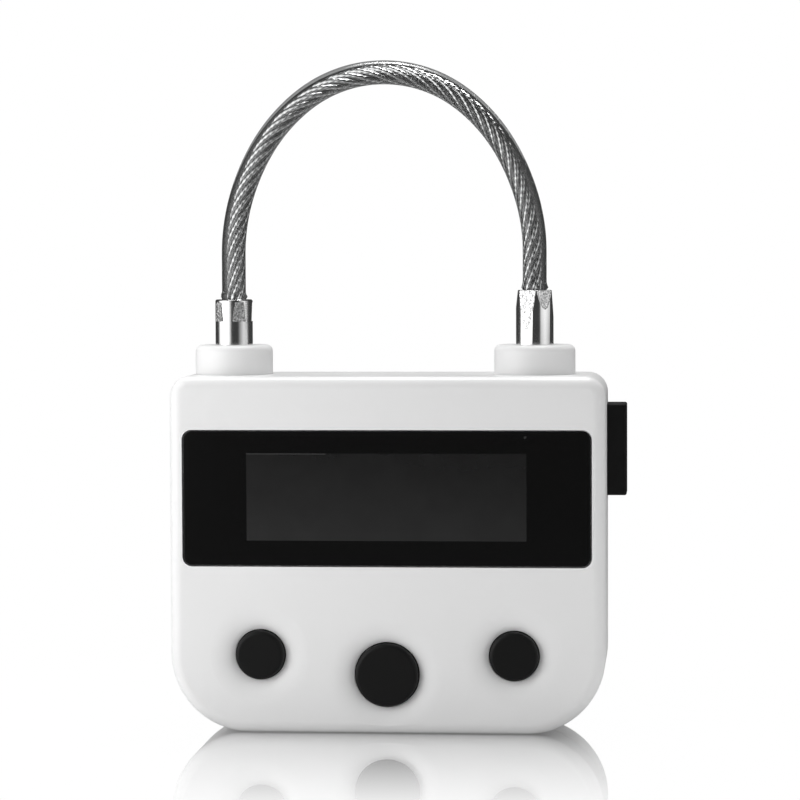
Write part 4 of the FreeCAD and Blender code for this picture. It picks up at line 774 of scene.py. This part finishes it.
zinc = bare_metal("bright_zinc", (0.62, 0.63, 0.66), 0.22)
profile = [(0, SHANK_END), (SHANK_RADIUS - SHANK_TIP / 2, SHANK_END), (SHANK_RADIUS, SHANK_END + SHANK_TIP),
           (SHANK_RADIUS, HEAD_LOW), (HEAD_RADIUS, HEAD_LOW)]
profile += rounded(HEAD_RADIUS, HEAD_HIGH, HEAD_ROUND)
profile.append((0, HEAD_HIGH))
screw = turned("case_screw_1", 0, profile, sides=48)
recesses = []
for reach, width in ((RECESS_REACH, RECESS_HALF_WIDTH), (RECESS_HALF_WIDTH, RECESS_REACH)):
    recess = block("recess", (-reach * MM, -width * MM, (HEAD_HIGH - RECESS_DEPTH) * MM),
                   (reach * MM, width * MM, (HEAD_HIGH + RECESS_ABOVE) * MM))
    recess.data.materials.append(zinc)
    recesses.append(recess)
carve(screw, recesses)
screw.data.transform(Matrix.Rotation(math.radians(-90), 4, "X"))
for number, (across, up) in enumerate(SCREW_PLACES, 1):
    copy = screw
    if number < len(SCREW_PLACES):
        copy = screw.copy()
        copy.data = screw.data.copy()
        bpy.context.scene.collection.objects.link(copy)
    copy.name = f"case_screw_{number}"
    turn = Matrix.Rotation(math.radians(SCREW_TURN * number), 4, "Y")
    copy.data.transform(Matrix.Translation((across * MM, 0, up * MM)) @ turn)
    done(copy, zinc, "root")
    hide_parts("case_screws")


# The lock inside: a steel bolt with a rack, driven by a brass pinion on a small gear motor,
# slides in an acetal guide. A cross pin holds the heel, and the toe drops into a brass sleeve.
dress(zinc, "board_screws", "heel_pin", "motor_shaft", "port_shell")
dress(bare_metal("ground_steel", (0.56, 0.56, 0.57), 0.26, stretch=(0.06, 1, 1)), "latch_bolt")
dress(bare_metal("drawn_steel_can", (0.60, 0.60, 0.61), 0.20, stretch=(1, 1, 0.05)), "gear_motor")
dress(bare_metal("turned_brass", (0.76, 0.55, 0.24), 0.16, stretch=(0.1, 0.1, 1)),
      "toe_sleeve", "drive_pinion")
dress(moulded("natural_acetal", 0.82, 0.34, (1, 1, 0.95)), "latch_guide",
      "left_plunger", "middle_plunger", "right_plunger")


# The electronics: the display's glass on its light plate and contact strip, the timer's board
# with its chip and switches, and the charging socket on a small board of its own.
LAYER_PITCH = 0.18 * MM


def board(name):
    """Fibreglass board under green solder mask, with copper tracks that show through it."""
    paint, tree = finish(name)
    spot = tree.add("ShaderNodeTexCoord", output="Object")
    flat = tree.add("ShaderNodeMapping", None, {"Vector": spot, "Rotation": (math.pi / 2, 0, 0)})
    tracks = tree.add("ShaderNodeTexBrick", {"offset": 0.37}, {
        "Vector": flat, "Scale": 240.0, "Mortar Size": 0.045, "Brick Width": 0.9, "Row Height": 0.35,
    }, output="Fac")
    surface(tree, {
        "Base Color": tinted(tree, 0.9 + tracks * 0.9, (0.015, 0.12, 0.05)),
        "Roughness": 0.24 + noise(tree, scale=400) * 0.12,
        "Normal": bump(tree, tracks, 0.02 * MM),
    })
    return paint


def striped_rubber(name):
    """A contact strip: pink silicone with fine dark layers across it."""
    paint, tree = finish(name)
    layers = tree.maths("SINE", along(tree, "X") * 2 * math.pi / LAYER_PITCH) > 0.3
    surface(tree, {
        "Base Color": tinted(tree, 1 - layers * 0.9, (0.75, 0.3, 0.45)),
        "Roughness": 0.55 + noise(tree, scale=1500) * 0.1,
    })
    return paint


dress(board("green_board"), "circuit_board", "charge_board")
dress(striped_rubber("contact_strip"), "lcd_connector")
dress(moulded("milky_diffuser", 0.76, 0.45), "lcd_backlight")
dress(moulded("unlit_display", 0.035, 0.10), "lcd_glass")
dress(moulded("black_epoxy", 0.025, 0.50), "timer_chip")
dress(moulded("switch_black", 0.035, 0.42), "left_switch", "middle_switch", "right_switch", "port_contacts")


# The battery: a flat pouch cell in creased foil, between the board and the back. Foam tape
# holds it to the back.
def pouch(name):
    """Laminated foil, drawn round the cell with soft creases."""
    paint, tree = finish(name)
    creases = noise(tree, scale=320, detail=5.0)
    surface(tree, {
        "Base Color": tinted(tree, 0.62 + creases * 0.16),
        "Metallic": 1.0,
        "Roughness": 0.26 + creases * 0.14,
        "Normal": bump(tree, creases, 0.12 * MM),
    })
    return paint


def foam(name):
    """Open foam: fine pores in an off-white sheet."""
    paint, tree = finish(name)
    pores = noise(tree, scale=3600)
    surface(tree, {
        "Base Color": tinted(tree, 0.66 + pores * 0.26, (1, 1, 0.96)),
        "Roughness": 0.85 + pores * 0.1,
        "Normal": bump(tree, pores, 0.08 * MM),
    })
    return paint


dress(pouch("pouch_foil"), "battery_cell")
dress(foam("tape_foam"), "battery_tape")
